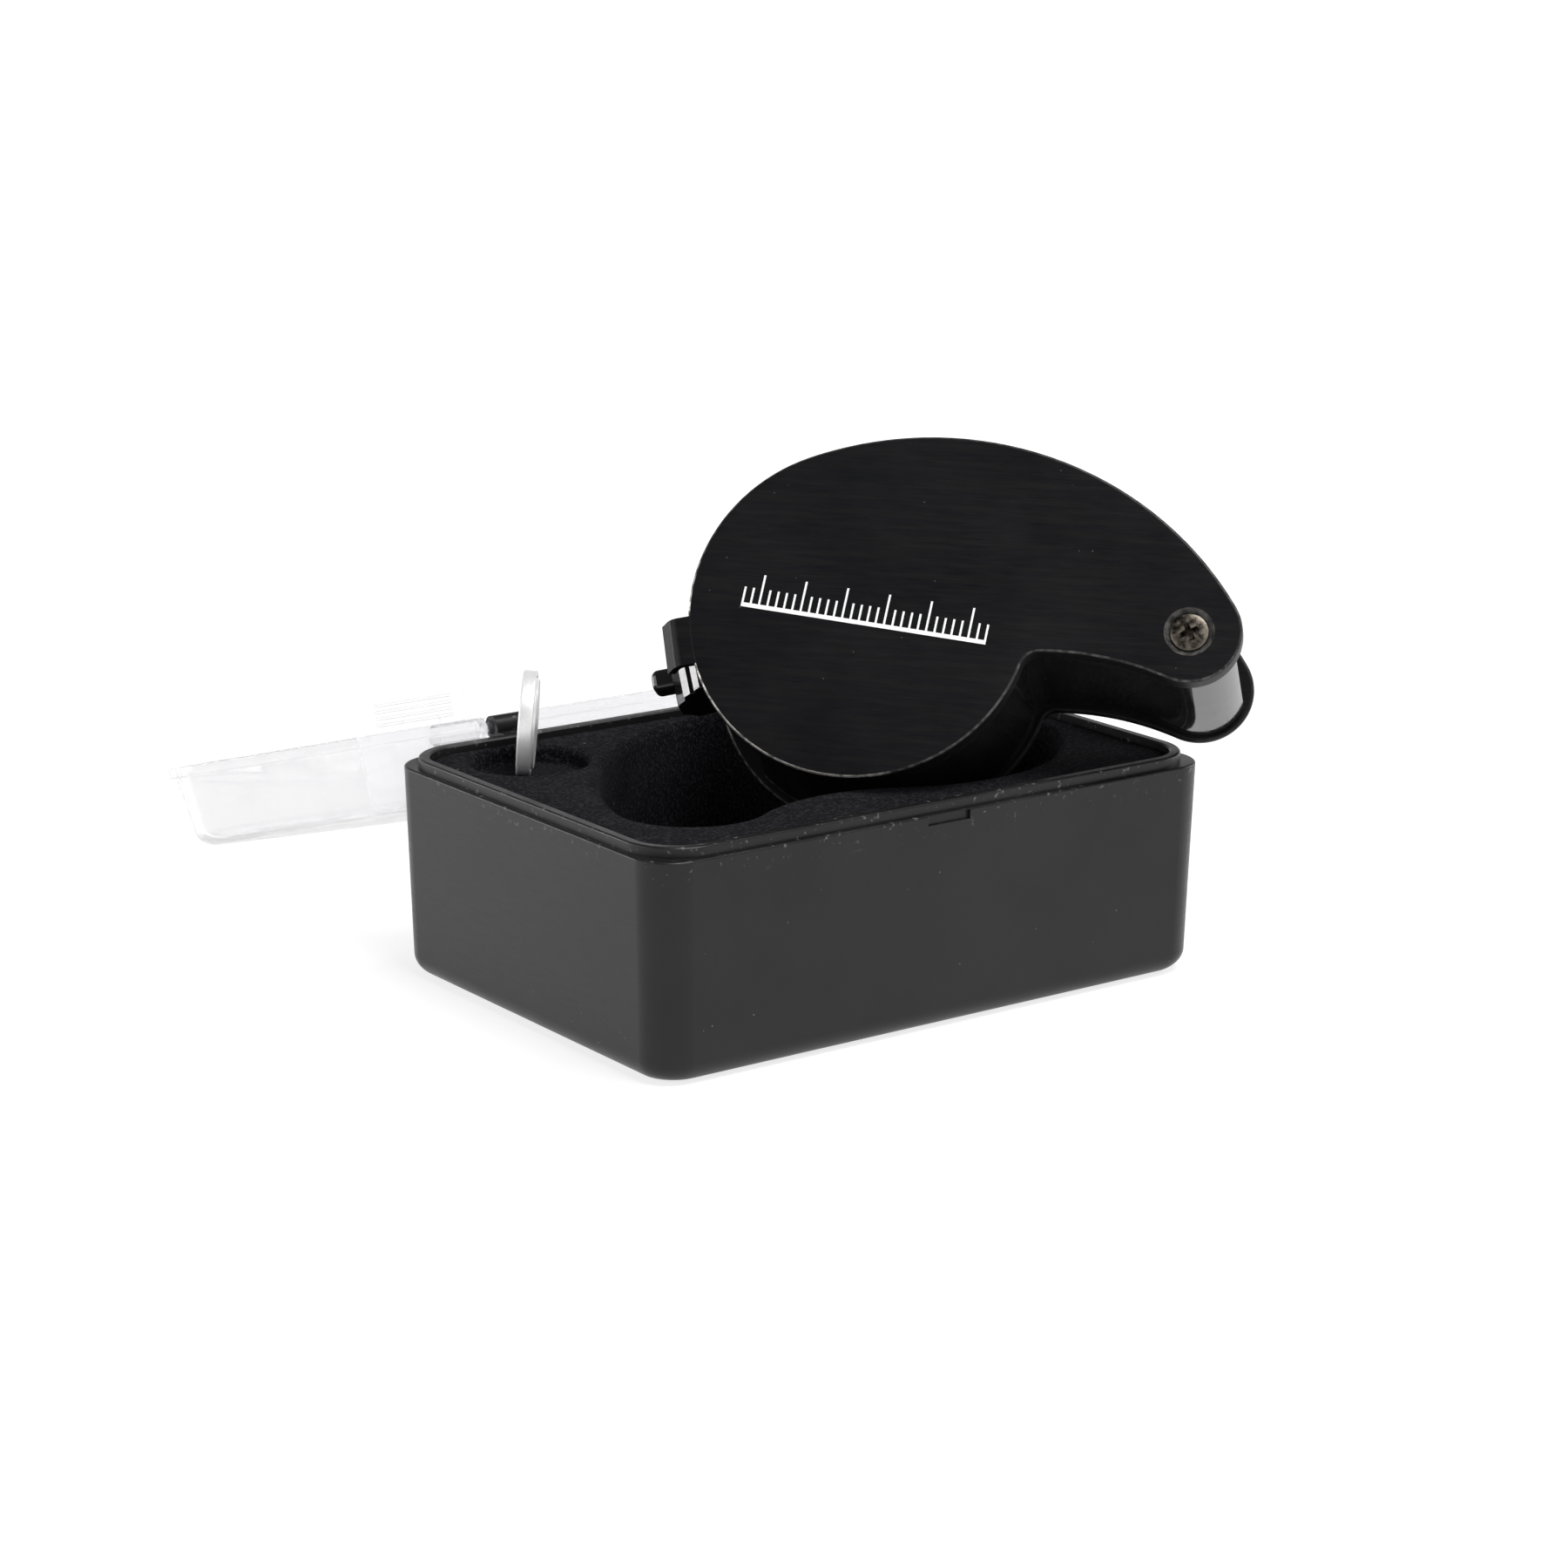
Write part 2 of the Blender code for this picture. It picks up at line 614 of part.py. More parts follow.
def make_pivot(steel, plastic, loupe):
    place = tuple(PIVOT)
    sleeve_top = -COVER_THICKNESS - FIT_GAP
    sleeve_bottom = -SLEEVE_END
    ring = ring_profile(SLEEVE_RADIUS, 0.0013, sleeve_top, sleeve_bottom)
    sleeve = turned("pivot_sleeve", ring, 28, place)
    finish_part(sleeve, steel, loupe)

    washer_bottom = -HOLDER_FRONT + FIT_GAP
    for name, top, bottom in (
        ("front_washer", washer_bottom + 0.0017, washer_bottom),
        ("rear_washer", -HOLDER_BACK - FIT_GAP, sleeve_bottom),
    ):
        washer = turned(name, ring_profile(0.0036, 0.00245, top, bottom), 28, place)
        finish_part(washer, plastic, loupe)

    flange_top = sleeve_bottom - FIT_GAP
    flange_bottom = -REAR_COVER_FRONT + FIT_GAP
    nut_bottom = -THICKNESS + 0.0001
    section = [
        (0.0030, flange_top),
        (0.0030, flange_bottom),
        (0.0020, flange_bottom),
        (0.0020, nut_bottom),
        (0.0011, nut_bottom),
        (0.0011, flange_top),
    ]
    nut = turned("pivot_nut", section, 28, place)
    slot_low = (-0.003, -0.0003, nut_bottom - 0.001)
    slot_high = (0.003, 0.0003, nut_bottom + 0.0005)
    slot = block("nut_slot", slot_low, slot_high)
    slot.data.transform(Matrix.Translation((*place, 0)))
    cut(nut, slot)
    slot.parent = loupe
    finish_part(nut, steel, loupe)

    screw_end = nut_bottom + 0.0003
    section = [
        (0, -0.00010),
        (0.0012, -0.00013),
        (0.0020, -0.00022),
        (0.0022, -0.00035),
        (0.0012, -0.00135),
        (0.0010, -0.00150),
        (0.0010, screw_end),
        (0, screw_end),
    ]
    screw = turned("pivot_screw", section, 28, place)
    arms = []
    for i, turn in enumerate((math.radians(28), math.radians(118))):
        arm = block(f"recess_{i}", (-0.00125, -0.00034, -0.0010), (0.00125, 0.00034, 0.0002))
        arm.data.transform(Matrix.Translation((*place, 0)) @ Matrix.Rotation(turn, 4, "Z"))
        arms.append(arm)
    cut(screw, *arms)
    parent_all(loupe, *arms)
    finish_part(screw, steel, loupe)


def make_holder(surface, lens):
    front, back = -HOLDER_FRONT, -HOLDER_BACK
    holder = plate("lens_holder", loupe_outline(-HOLDER_INSET), back, front, edge=COVER_EDGE)

    front_depth, back_depth = NUB_DEPTHS
    nub = plate("thumb_nub", nub_outline(), -back_depth, -front_depth, 0.0006, helper=True)
    nub.data.transform(Matrix.Rotation(NUB_TURN, 4, "Z"))
    grip = make_grip()
    join(holder, grip, nub)

    start, end = back - 0.001, front + 0.001
    bore = cylinder("barrel_bore", BARREL_OUTER + FIT_GAP, start, end, steps=48)
    eye = cylinder("pivot_eye", SLEEVE_RADIUS + RUNNING_GAP, start, end, PIVOT)
    bay_radius = CELL_DOOR_RADIUS + FIT_GAP
    bay = cylinder("cell_bay", bay_radius, start, back + CELL_BAY_DEPTH, CELL_PLACE, steps=36)
    lamp_hole = cylinder("lamp_hole", 0.00185, start, back + 0.0062, LAMP_PLACE, steps=24)
    bezel_seat = cylinder("bezel_seat", 0.0027, start, back + 0.0012, LAMP_PLACE, steps=24)
    tools = (bore, eye, bay, lamp_hole, bezel_seat)
    cut(holder, *tools)
    parent_all(lens, grip, nub, *tools)
    for item in (holder, grip, nub, *tools):
        item.location = (-PIVOT_REACH, 0, 0)
    finish_part(holder, surface, lens)


def make_grip():
    """The stepped thumb grip, drawn as (reach, depth) and run along the round part's edge."""
    steps = [(0.0170, -0.0056), (0.0205, -0.0056), (0.0213, -0.0064), (0.0213, -0.0070)]
    steps += [(0.0219, -0.0070), (0.0228, -0.0079), (0.0228, -0.0088), (0.0240, -0.0104)]
    steps += [(0.0240, -0.0134), (0.0222, -0.0156), (0.0170, -0.0156)]
    grip = plate("thumb_grip", steps, -GRIP_HALF_WIDTH, GRIP_HALF_WIDTH, helper=True)
    stand = Matrix.Rotation(math.pi / 2, 4, "X")
    grip.data.transform(Matrix.Rotation(GRIP_TURN, 4, "Z") @ stand)
    return grip


def nub_outline():
    """The thumb nub from above: a tongue with a round end, along local +X."""
    half = NUB_HALF_WIDTH
    corner = NUB_CORNER
    low = (NUB_RADIUS - corner, -half + corner)
    high = (NUB_RADIUS - corner, half - corner)
    points = [(0.0170, half), (0.0170, -half)]
    points += arc(low, corner, -math.pi / 2, 0, 4)
    points += arc(high, corner, 0, math.pi / 2, 4)
    return points


def lens_profile(edge_front, dome_sign):
    """A plano-convex lens: flat rim of LENS_FLAT, dome of LENS_DOME towards dome_sign."""
    dome_edge = LENS_RADIUS - 0.0015
    sphere = (dome_edge**2 + LENS_DOME**2) / (2 * LENS_DOME)
    edge_back = edge_front - LENS_FLAT
    steps = 5
    sag = []
    for i in range(steps + 1):
        radius = dome_edge * (1 - i / steps)
        sag.append((radius, LENS_DOME - sphere + math.sqrt(sphere**2 - radius**2)))
    if dome_sign < 0:
        dome = [(radius, edge_back - height) for radius, height in sag]
        return [(0, edge_front), (LENS_RADIUS, edge_front), (LENS_RADIUS, edge_back), *dome]
    dome = [(radius, edge_front + height) for radius, height in reversed(sag)]
    return [*dome, (LENS_RADIUS, edge_front), (LENS_RADIUS, edge_back), (0, edge_back)]


def ring_profile(outer, inner, top, bottom):
    return [(outer, top), (outer, bottom), (inner, bottom), (inner, top)]


def make_optics(glass, metal, plastic, lens):
    place = (-PIVOT_REACH, 0)
    top = -HOLDER_FRONT - 0.0003
    barrel_bottom = -HOLDER_BACK + 0.0006
    pieces = []

    barrel = ring_profile(BARREL_OUTER, BARREL_INNER, top, barrel_bottom)
    pieces.append((turned("lens_barrel", barrel, 48, place), metal))
    ring_top = top - 0.0003
    front_ring = ring_profile(LENS_RADIUS, RING_INNER, ring_top, ring_top - RING_HEIGHT)
    pieces.append((turned("front_retaining_ring", front_ring, 36, place), metal))
    eye_front = ring_top - RING_HEIGHT - FIT_GAP
    pieces.append((turned("eye_lens", lens_profile(eye_front, -1), 36, place), glass))

    ring_bottom = barrel_bottom + 0.0003
    rear_ring = ring_profile(LENS_RADIUS, RING_INNER, ring_bottom + RING_HEIGHT, ring_bottom)
    pieces.append((turned("rear_retaining_ring", rear_ring, 36, place), metal))
    field_front = ring_bottom + RING_HEIGHT + FIT_GAP + LENS_FLAT
    pieces.append((turned("field_lens", lens_profile(field_front, 1), 36, place), glass))

    spacer_top = eye_front - LENS_FLAT - FIT_GAP
    spacer = ring_profile(LENS_RADIUS, 0.0114, spacer_top, field_front + FIT_GAP)
    pieces.append((turned("lens_spacer", spacer, 36, place), plastic))
    for piece, surface in pieces:
        finish_part(piece, surface, lens)


def disc_profile(radius, top, bottom):
    return [(0, top), (radius, top), (radius, bottom), (0, bottom)]


def make_lamp(lamp, steel, brass, dark, lens):
    back = -HOLDER_BACK
    place = (LAMP_PLACE[0] - PIVOT_REACH, LAMP_PLACE[1])
    base = back + 0.0050
    shoulder = back + 0.0019
    dome = [(LAMP_RADIUS * math.cos(a), shoulder - LAMP_RADIUS * math.sin(a)) for a in steps_of(5)]
    bulb = turned("led_lamp", [(0, base), (LAMP_RADIUS, base), *dome], 20, place)
    finish_part(bulb, lamp, lens)
    ring = ring_profile(0.0024, 0.0018, back + 0.0009, back + 0.0001)
    bezel = turned("led_bezel", ring, 24, place)
    finish_part(bezel, steel, lens)

    # The cell lies between two spring contacts, stacked down from the bay's floor to its door.
    place = (CELL_PLACE[0] - PIVOT_REACH, CELL_PLACE[1])
    contact_top = back + CELL_BAY_DEPTH - FIT_GAP
    disc = disc_profile(0.0040, contact_top, contact_top - CONTACT_THICKNESS)
    negative = turned("negative_contact", disc, 24, place)
    finish_part(negative, brass, lens)
    cell_top = contact_top - CONTACT_THICKNESS - FIT_GAP
    cell = turned("working_cell", cell_profile(cell_top), 36, place)
    finish_part(cell, steel, lens)
    contact = cell_top - CELL_THICKNESS - FIT_GAP
    disc = disc_profile(0.0050, contact, contact - CONTACT_THICKNESS)
    positive = turned("positive_contact", disc, 24, place)
    finish_part(positive, brass, lens)
    door_top = contact - CONTACT_THICKNESS - FIT_GAP
    disc = disc_profile(CELL_DOOR_RADIUS, door_top, back + 0.0001)
    door = turned("battery_door", disc, 36, place)
    slot = block("door_slot", (-0.0042, -0.0005, back - 0.001), (0.0042, 0.0005, back + 0.0006))
    slot.location = (*place, 0)
    slot.parent = lens
    cut(door, slot)
    finish_part(door, dark, lens)

    leaf_low = -HOLDER_FRONT + 0.0002
    low = (-0.0100, 0.0030, leaf_low)
    high = (-0.0045, 0.0052, leaf_low + CONTACT_THICKNESS)
    leaf = block("switch_leaf", low, high, helper=False)
    finish_part(leaf, brass, lens)


def steps_of(count):
    """Angles from 0 to a right angle."""
    return [math.pi / 2 * i / count for i in range(count + 1)]


def cell_profile(top):
    """A coin cell with its smaller cap up, the gasket's step and a rounded can."""
    cap = CELL_RADIUS - 0.0009
    edge = 0.0002
    bottom = top - CELL_THICKNESS
    return [
        (0, top),
        (cap, top),
        (cap + 0.0002, top - 0.0003),
        (CELL_RADIUS - edge, top - 0.0003),
        (CELL_RADIUS, top - 0.0003 - edge),
        (CELL_RADIUS, bottom + edge),
        (CELL_RADIUS - edge, bottom),
        (0, bottom),
    ]


def make_spare_cell(surface):
    """The spare cell stands on its edge in its recess, leaning a little."""
    cell = turned("spare_cell", cell_profile(CELL_THICKNESS / 2), 40)
    turn = Matrix.Rotation(SPARE_CELL_TURN, 4, "Z")
    cell.matrix_world = turn @ Matrix.Rotation(math.pi / 2 + SPARE_CELL_TILT, 4, "Y")
    support = CELL_RADIUS * math.cos(SPARE_CELL_TILT)
    support += CELL_THICKNESS / 2 * math.sin(SPARE_CELL_TILT)
    height = INSERT_TOP - CELL_RECESS_DEPTH + FIT_GAP + support
    cell.location = (*CELL_RECESS, height)
    finish_part(cell, surface)


def main():
    clear_scene()
    black_case = material("case_plastic", (0.012, 0.012, 0.013), 0.45)
    flock = material("flock", (0.006, 0.006, 0.008), 1.0)
    clear = material("clear_plastic", (0.95, 0.95, 0.95), 0.08, transmission=1.0)
    satin = material("satin_black", (0.015, 0.014, 0.014), 0.42, 0.6)
    gloss = material("gloss_black", (0.008, 0.008, 0.009), 0.12)
    steel = material("steel", (0.55, 0.55, 0.56), 0.3, 1.0)
    dark_screw = material("dark_screw", (0.05, 0.048, 0.045), 0.35, 1.0)
    brass = material("brass", (0.72, 0.55, 0.28), 0.35, 1.0)
    glass = material("glass", (0.98, 0.98, 0.98), 0.02, transmission=1.0)
    lamp = material("lamp", (0.95, 0.93, 0.80), 0.15, transmission=0.6)
    nylon = material("nylon", (0.75, 0.74, 0.70), 0.5)

    make_case_base(black_case)
    make_insert(flock)
    hinge = empty("lid_hinge")
    hinge.location = (0, HINGE_Y, HINGE_Z)
    hinge.rotation_euler = (-LID_OPEN, 0, 0)
    make_lid(clear, hinge)
    make_spare_cell(steel)

    loupe = empty("loupe")
    place = Matrix.Translation(LOUPE_PLACE)
    stand = Euler((math.pi / 2 - LOUPE_LEAN, 0, LOUPE_TURN)).to_matrix().to_4x4()
    loupe.matrix_world = place @ stand @ Matrix.Rotation(LOUPE_ROLL, 4, "Z")
    make_front_cover(satin, loupe)
    make_rear_cover(satin, loupe)
    make_spine(gloss, loupe)
    make_pivot(dark_screw, nylon, loupe)

    lens = empty("lens_pivot", loupe)
    lens.location = (PIVOT_REACH, 0, 0)
    make_holder(gloss, lens)
    make_optics(glass, satin, gloss, lens)
    make_lamp(lamp, steel, brass, gloss, lens)


main()
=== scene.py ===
"""The looks of the hand lens and its case: finer shapes, materials, light and camera.

Metres, +Z up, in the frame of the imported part. The hand lens has a frame of its own: its round
part is centred on local Z, its pivot lies along local +X, and its front face is at local z = 0.
"""

import json
import math

import bmesh
import bpy
from mathutils import Euler, Matrix, Vector

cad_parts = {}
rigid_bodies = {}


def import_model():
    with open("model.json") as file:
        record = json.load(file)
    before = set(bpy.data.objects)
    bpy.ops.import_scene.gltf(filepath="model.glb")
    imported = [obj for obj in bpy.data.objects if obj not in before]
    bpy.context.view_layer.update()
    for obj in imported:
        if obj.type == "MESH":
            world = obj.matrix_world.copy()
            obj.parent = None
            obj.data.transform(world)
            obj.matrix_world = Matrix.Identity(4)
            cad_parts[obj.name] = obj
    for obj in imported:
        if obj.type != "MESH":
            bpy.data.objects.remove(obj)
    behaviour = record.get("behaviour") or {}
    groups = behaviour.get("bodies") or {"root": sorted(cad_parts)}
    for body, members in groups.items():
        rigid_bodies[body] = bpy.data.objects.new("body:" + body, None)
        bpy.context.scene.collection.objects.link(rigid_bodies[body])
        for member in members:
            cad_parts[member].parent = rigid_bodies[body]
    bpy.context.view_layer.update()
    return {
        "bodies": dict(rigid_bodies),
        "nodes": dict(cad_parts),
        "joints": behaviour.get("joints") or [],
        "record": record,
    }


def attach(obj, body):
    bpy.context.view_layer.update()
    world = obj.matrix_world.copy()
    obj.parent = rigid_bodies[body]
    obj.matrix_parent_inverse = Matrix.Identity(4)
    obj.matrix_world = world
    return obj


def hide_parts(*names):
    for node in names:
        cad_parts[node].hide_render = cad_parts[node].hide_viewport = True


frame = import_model()

FIT_GAP = 0.0003
RUNNING_GAP = 0.00008

# Case
CASE_LENGTH = 0.0790
CASE_WIDTH = 0.0564
CASE_CORNER = 0.0047
CASE_DRAFT = 0.00056
CASE_FILLET = 0.0026
LEDGE_HEIGHT = 0.0256
LEDGE_WIDTH = 0.00075
MOULDED_EDGE = 0.00025
LIP_HEIGHT = 0.0012
LIP_CORNER = 0.0065
LIP_WALL = 0.0013
FLOOR = 0.0020
INSERT_TOP = 0.0260
POCKET_FLOOR = 0.0045
POCKET_FLARE = 0.0011
POCKET_FILLET = 0.0012
CELL_RECESS = (-0.0265, 0.0180)
CELL_RECESS_RADIUS = 0.0070
CELL_RECESS_DEPTH = 0.0022

POCKET_CENTRE = (0.0128, 0.0027)
POCKET_TURN = math.radians(200)
POCKET_CLEARANCE = 0.0023
POCKET_LAND_RADIUS = 0.0200

# Lid
LID_RIM_LENGTH = 0.0810
LID_RIM_WIDTH = 0.0584
LID_LENGTH = 0.0796
LID_WIDTH = 0.0570
LID_RIM_HEIGHT = 0.0015
LID_HEIGHT = 0.0110
LID_DRAFT = 0.0011
LID_FILLET = 0.0026
LID_WALL = 0.0009
LID_TOP = 0.0012
LID_OPEN = math.radians(196)
HINGE_Y = 0.0303
HINGE_Z = 0.0271
KNUCKLE_RADIUS = 0.0014
HINGE_PIN_RADIUS = 0.0007
BASE_KNUCKLE = (0.0194, 0.0240)
LID_KNUCKLE = (0.0254, 0.0319)
WEB_FOOT = 0.0205
WEB_STEP = 0.00036
TAB_WIDTH = 0.0160
TAB_REACH = 0.0050
TAB_THICKNESS = 0.0013
CATCH_WIDTH = 0.0056
CATCH_BEAD = (0.0247, 0.0253)
CATCH_NOTCH = (0.0244, 0.0255)

# Outline of the hand lens
ROUND_RADIUS = 0.0200
EYE_RADIUS = 0.0060
PIVOT_REACH = 0.0380
BACK_RADIUS = 0.0415
ARCH_RADIUS = 0.0360
ARCH_X = 0.0235
NOTCH_FILLET = 0.0022

# Depths in the hand lens
THICKNESS = 0.0234
COVER_THICKNESS = 0.0010
COVER_EDGE = 0.0004
SKIRT_DEPTH = 0.0026
REAR_COVER_FRONT = 0.0223
REAR_COVER_GROWTH = 0.00035
SPINE_INSET = 0.0003
SPINE_WALL = 0.0009
SPINE_TIP = math.radians(-20)
SPINE_END = math.radians(235)
SPINE_END_SLANT = math.radians(9)
HOLDER_FRONT = 0.0033
HOLDER_BACK = 0.0204
HOLDER_INSET = 0.0021
LUG_TURN = math.radians(194.3)
LUG_WIDTH = 0.0058
LUG_DROP = 0.00006
LUG_SHEET = 0.0009
LUG_BEND = 0.0016
LUG_SLOPE = math.radians(58)
LUG_RUN = 0.0017
NUB_TURN = math.radians(195.5)
NUB_RADIUS = 0.0266
NUB_HALF_WIDTH = 0.0014
NUB_CORNER = 0.0009
NUB_DEPTHS = (0.0104, 0.0134)
GRIP_TURN = math.radians(198.5)
GRIP_HALF_WIDTH = 0.0026
SLEEVE_RADIUS = 0.0022
SLEEVE_BORE = 0.0013
SLEEVE_END = 0.0213
WASHER_RADIUS = 0.0036
WASHER_BORE = 0.00245
FRONT_WASHER_THICKNESS = 0.0017
NUT_FLANGE_RADIUS = 0.0030
NUT_RADIUS = 0.0020
NUT_BORE = 0.0011

LOUPE_PLACE = (0.00157, -0.00893, 0.04520)
LOUPE_LEAN = math.radians(30.3)
LOUPE_TURN = math.radians(-46.8)
LOUPE_ROLL = math.radians(-1.34)

# Optics
LENS_RADIUS = 0.0125
LENS_FLAT = 0.0014
LENS_DOME = 0.0025
BARREL_INNER = 0.0128
BARREL_OUTER = 0.0139
RING_HEIGHT = 0.0010
RING_INNER = 0.0112
SPACER_INNER = 0.0114
LAMP_PLACE = (0.0169, 0.0044)
LAMP_RADIUS = 0.0015
BEZEL_RADIUS = 0.0024
BEZEL_BORE = 0.0018

# Coin cells
CELL_RADIUS = 0.00625
CELL_THICKNESS = 0.0020
CELL_PLACE = (0.0265, 0.0069)
CELL_DOOR_RADIUS = 0.0063
CELL_BAY_DEPTH = 0.0052
CONTACT_THICKNESS = 0.0003
NEGATIVE_CONTACT_RADIUS = 0.0040
POSITIVE_CONTACT_RADIUS = 0.0050
SPARE_CELL_TILT = math.radians(4.5)
SPARE_CELL_TURN = math.radians(-35.4)

HERE = Matrix.Identity(4)
STAND = Euler((math.pi / 2 - LOUPE_LEAN, 0, LOUPE_TURN)).to_matrix().to_4x4()
LOUPE = Matrix.Translation(LOUPE_PLACE) @ STAND @ Matrix.Rotation(LOUPE_ROLL, 4, "Z")
TO_HINGE = Matrix.Translation((0, -HINGE_Y, -HINGE_Z))
CELL_SUPPORT = CELL_RADIUS * math.cos(SPARE_CELL_TILT) + CELL_THICKNESS / 2 * math.sin(SPARE_CELL_TILT)
CELL_HEIGHT = INSERT_TOP - CELL_RECESS_DEPTH + FIT_GAP + CELL_SUPPORT
CELL_TURN = Matrix.Rotation(SPARE_CELL_TURN, 4, "Z") @ Matrix.Rotation(math.pi / 2 + SPARE_CELL_TILT, 4, "Y")
SPARE_CELL = Matrix.Translation((*CELL_RECESS, CELL_HEIGHT)) @ CELL_TURN
LID = Matrix.Translation((0, HINGE_Y, HINGE_Z)) @ Matrix.Rotation(-LID_OPEN, 4, "X")
BODY_PLACES = {"case": HERE, "lid": LID, "loupe": LOUPE, "lens": LOUPE, "spare_cell": SPARE_CELL}


# ---- shapes


def scratch(name, data):
    made = bpy.data.objects.new(name, data)
    bpy.context.scene.collection.objects.link(made)
    return made


def from_bmesh(name, shape):
    bmesh.ops.recalc_face_normals(shape, faces=shape.faces)
    mesh = bpy.data.meshes.new(name)
    shape.to_mesh(mesh)
    shape.free()
    return scratch(name, mesh)


def block(name, low, high):
    shape = bmesh.new()
    bmesh.ops.create_cube(shape, size=1.0)
    bmesh.ops.scale(shape, verts=shape.verts, vec=[b - a for a, b in zip(low, high)])
    bmesh.ops.translate(shape, verts=shape.verts, vec=[(a + b) / 2 for a, b in zip(low, high)])
    return from_bmesh(name, shape)


def cylinder(name, radius, low, high, place=(0, 0), end_radius=None, steps=96):
    shape = bmesh.new()
    upper = radius if end_radius is None else end_radius
    depth = high - low
    bmesh.ops.create_cone(shape, cap_ends=True, segments=steps, radius1=radius, radius2=upper, depth=depth)
    bmesh.ops.translate(shape, verts=shape.verts, vec=(*place, (low + high) / 2))
    return from_bmesh(name, shape)


def cross_cylinder(name, radius, low, high, y, z, steps=48):
    made = cylinder(name, radius, low, high, steps=steps)
    made.data.transform(Matrix.Translation((0, y, z)) @ Matrix.Rotation(math.pi / 2, 4, "Y"))
    return made


def loft(name, rings):
    """A closed solid through rings of points, all of one length, from its bottom to its top."""
    shape = bmesh.new()
    made = [[shape.verts.new(point) for point in ring] for ring in rings]
    for lower, upper in zip(made, made[1:]):
        for i in range(len(lower)):
            j = (i + 1) % len(lower)
            shape.faces.new((lower[i], lower[j], upper[j], upper[i]))
    shape.faces.new(list(reversed(made[0])))
    shape.faces.new(made[-1])
    return from_bmesh(name, shape)


def turned(name, profile, steps=96, place=(0, 0)):
    """A solid of revolution about Z. The profile is (radius, z), down its outer side."""
    shape = bmesh.new()
    rings = []
    for radius, z in profile:
        if radius == 0:
            rings.append([shape.verts.new((*place, z))])
            continue
        ring = []
        for i in range(steps):
            turn = math.tau * i / steps
            x = place[0] + radius * math.cos(turn)
            y = place[1] + radius * math.sin(turn)
            ring.append(shape.verts.new((x, y, z)))
        rings.append(ring)
    pairs = list(zip(rings, rings[1:]))
    if min(radius for radius, _ in profile) > 0:
        pairs.append((rings[-1], rings[0]))
    for upper, lower in pairs:
        for i in range(steps):
            j = (i + 1) % steps
            corners = [upper[i % len(upper)], lower[i % len(lower)]]
            corners += [lower[j % len(lower)], upper[j % len(upper)]]
            shape.faces.new(list(dict.fromkeys(corners)))
    return from_bmesh(name, shape)


def plate(name, outline, low, high, edge=0.0, edge_steps=4):
    """A flat outline between two heights, its edges rounded by the radius edge."""
    curve = bpy.data.curves.new(name + "_outline", "CURVE")
    curve.dimensions = "2D"
    curve.fill_mode = "BOTH"
    curve.extrude = (high - low) / 2 - edge
    curve.bevel_depth = edge
    curve.bevel_resolution = edge_steps
    curve.offset = -edge
    spline = curve.splines.new("POLY")
    spline.points.add(len(outline) - 1)
    for point, (x, y) in zip(spline.points, outline):
        point.co = (x, y, 0, 1)
    spline.use_cyclic_u = True
    drawn = scratch(name + "_outline", curve)
    graph = bpy.context.evaluated_depsgraph_get()
    mesh = bpy.data.meshes.new_from_object(drawn.evaluated_get(graph))
    bpy.data.objects.remove(drawn, do_unlink=True)
    shape = bmesh.new()
    shape.from_mesh(mesh)
    bmesh.ops.remove_doubles(shape, verts=shape.verts, dist=0.000002)
    bmesh.ops.translate(shape, verts=shape.verts, vec=(0, 0, (low + high) / 2))
    return from_bmesh(name, shape)


def tray(name, sections, corner_steps=14):
    """A loft through level rounded rectangles, each (length, width, corner radius, height)."""
    rings = []
    for length, width, corner, height in sections:
        points = rounded_rectangle(length, width, corner, corner_steps)
        rings.append([(x, y, height) for x, y in points])
    return loft(name, rings)


def boolean(part, operation, tools):
    for tool in tools:
        step = part.modifiers.new(tool.name, "BOOLEAN")
        step.operation = operation
        step.solver = "EXACT"
        step.object = tool


def cut(part, *tools):
    boolean(part, "DIFFERENCE", tools)


def join(part, *tools):
    boolean(part, "UNION", tools)


def arc(centre, radius, start, end, steps):
    turn = (end - start) / steps
    angles = [start + turn * i for i in range(steps + 1)]
    return [(centre[0] + radius * math.cos(a), centre[1] + radius * math.sin(a)) for a in angles]


def quarter(steps):
    return [math.pi / 2 * i / steps for i in range(steps + 1)]


def rounded_rectangle(length, width, corner, steps):
    points = []
    for i, (x, y) in enumerate(((1, 1), (-1, 1), (-1, -1), (1, -1))):
        centre = (x * (length / 2 - corner), y * (width / 2 - corner))
        points += arc(centre, corner, i * math.pi / 2, (i + 1) * math.pi / 2, steps)
    return points


def meeting_point(first, first_reach, second, second_reach, side):
    line = Vector(second) - Vector(first)
    along = (first_reach**2 - second_reach**2 + line.length_squared) / (2 * line.length)
    away = math.sqrt(first_reach**2 - along**2)
    unit = line.normalized()
    return Vector(first) + unit * along + Vector((-unit.y, unit.x)) * side * away


def heading(start, end):
    return math.atan2(end[1] - start[1], end[0] - start[0]) % math.tau


ROUND = Vector((0, 0))
PIVOT = Vector((PIVOT_REACH, 0))
BACK = meeting_point(ROUND, BACK_RADIUS - ROUND_RADIUS, PIVOT, BACK_RADIUS - EYE_RADIUS, -1)
ARCH = Vector((ARCH_X, -math.sqrt((ARCH_RADIUS + EYE_RADIUS) ** 2 - (PIVOT_REACH - ARCH_X) ** 2)))
NOTCH = meeting_point(ROUND, ROUND_RADIUS + NOTCH_FILLET, ARCH, ARCH_RADIUS - NOTCH_FILLET, 1)


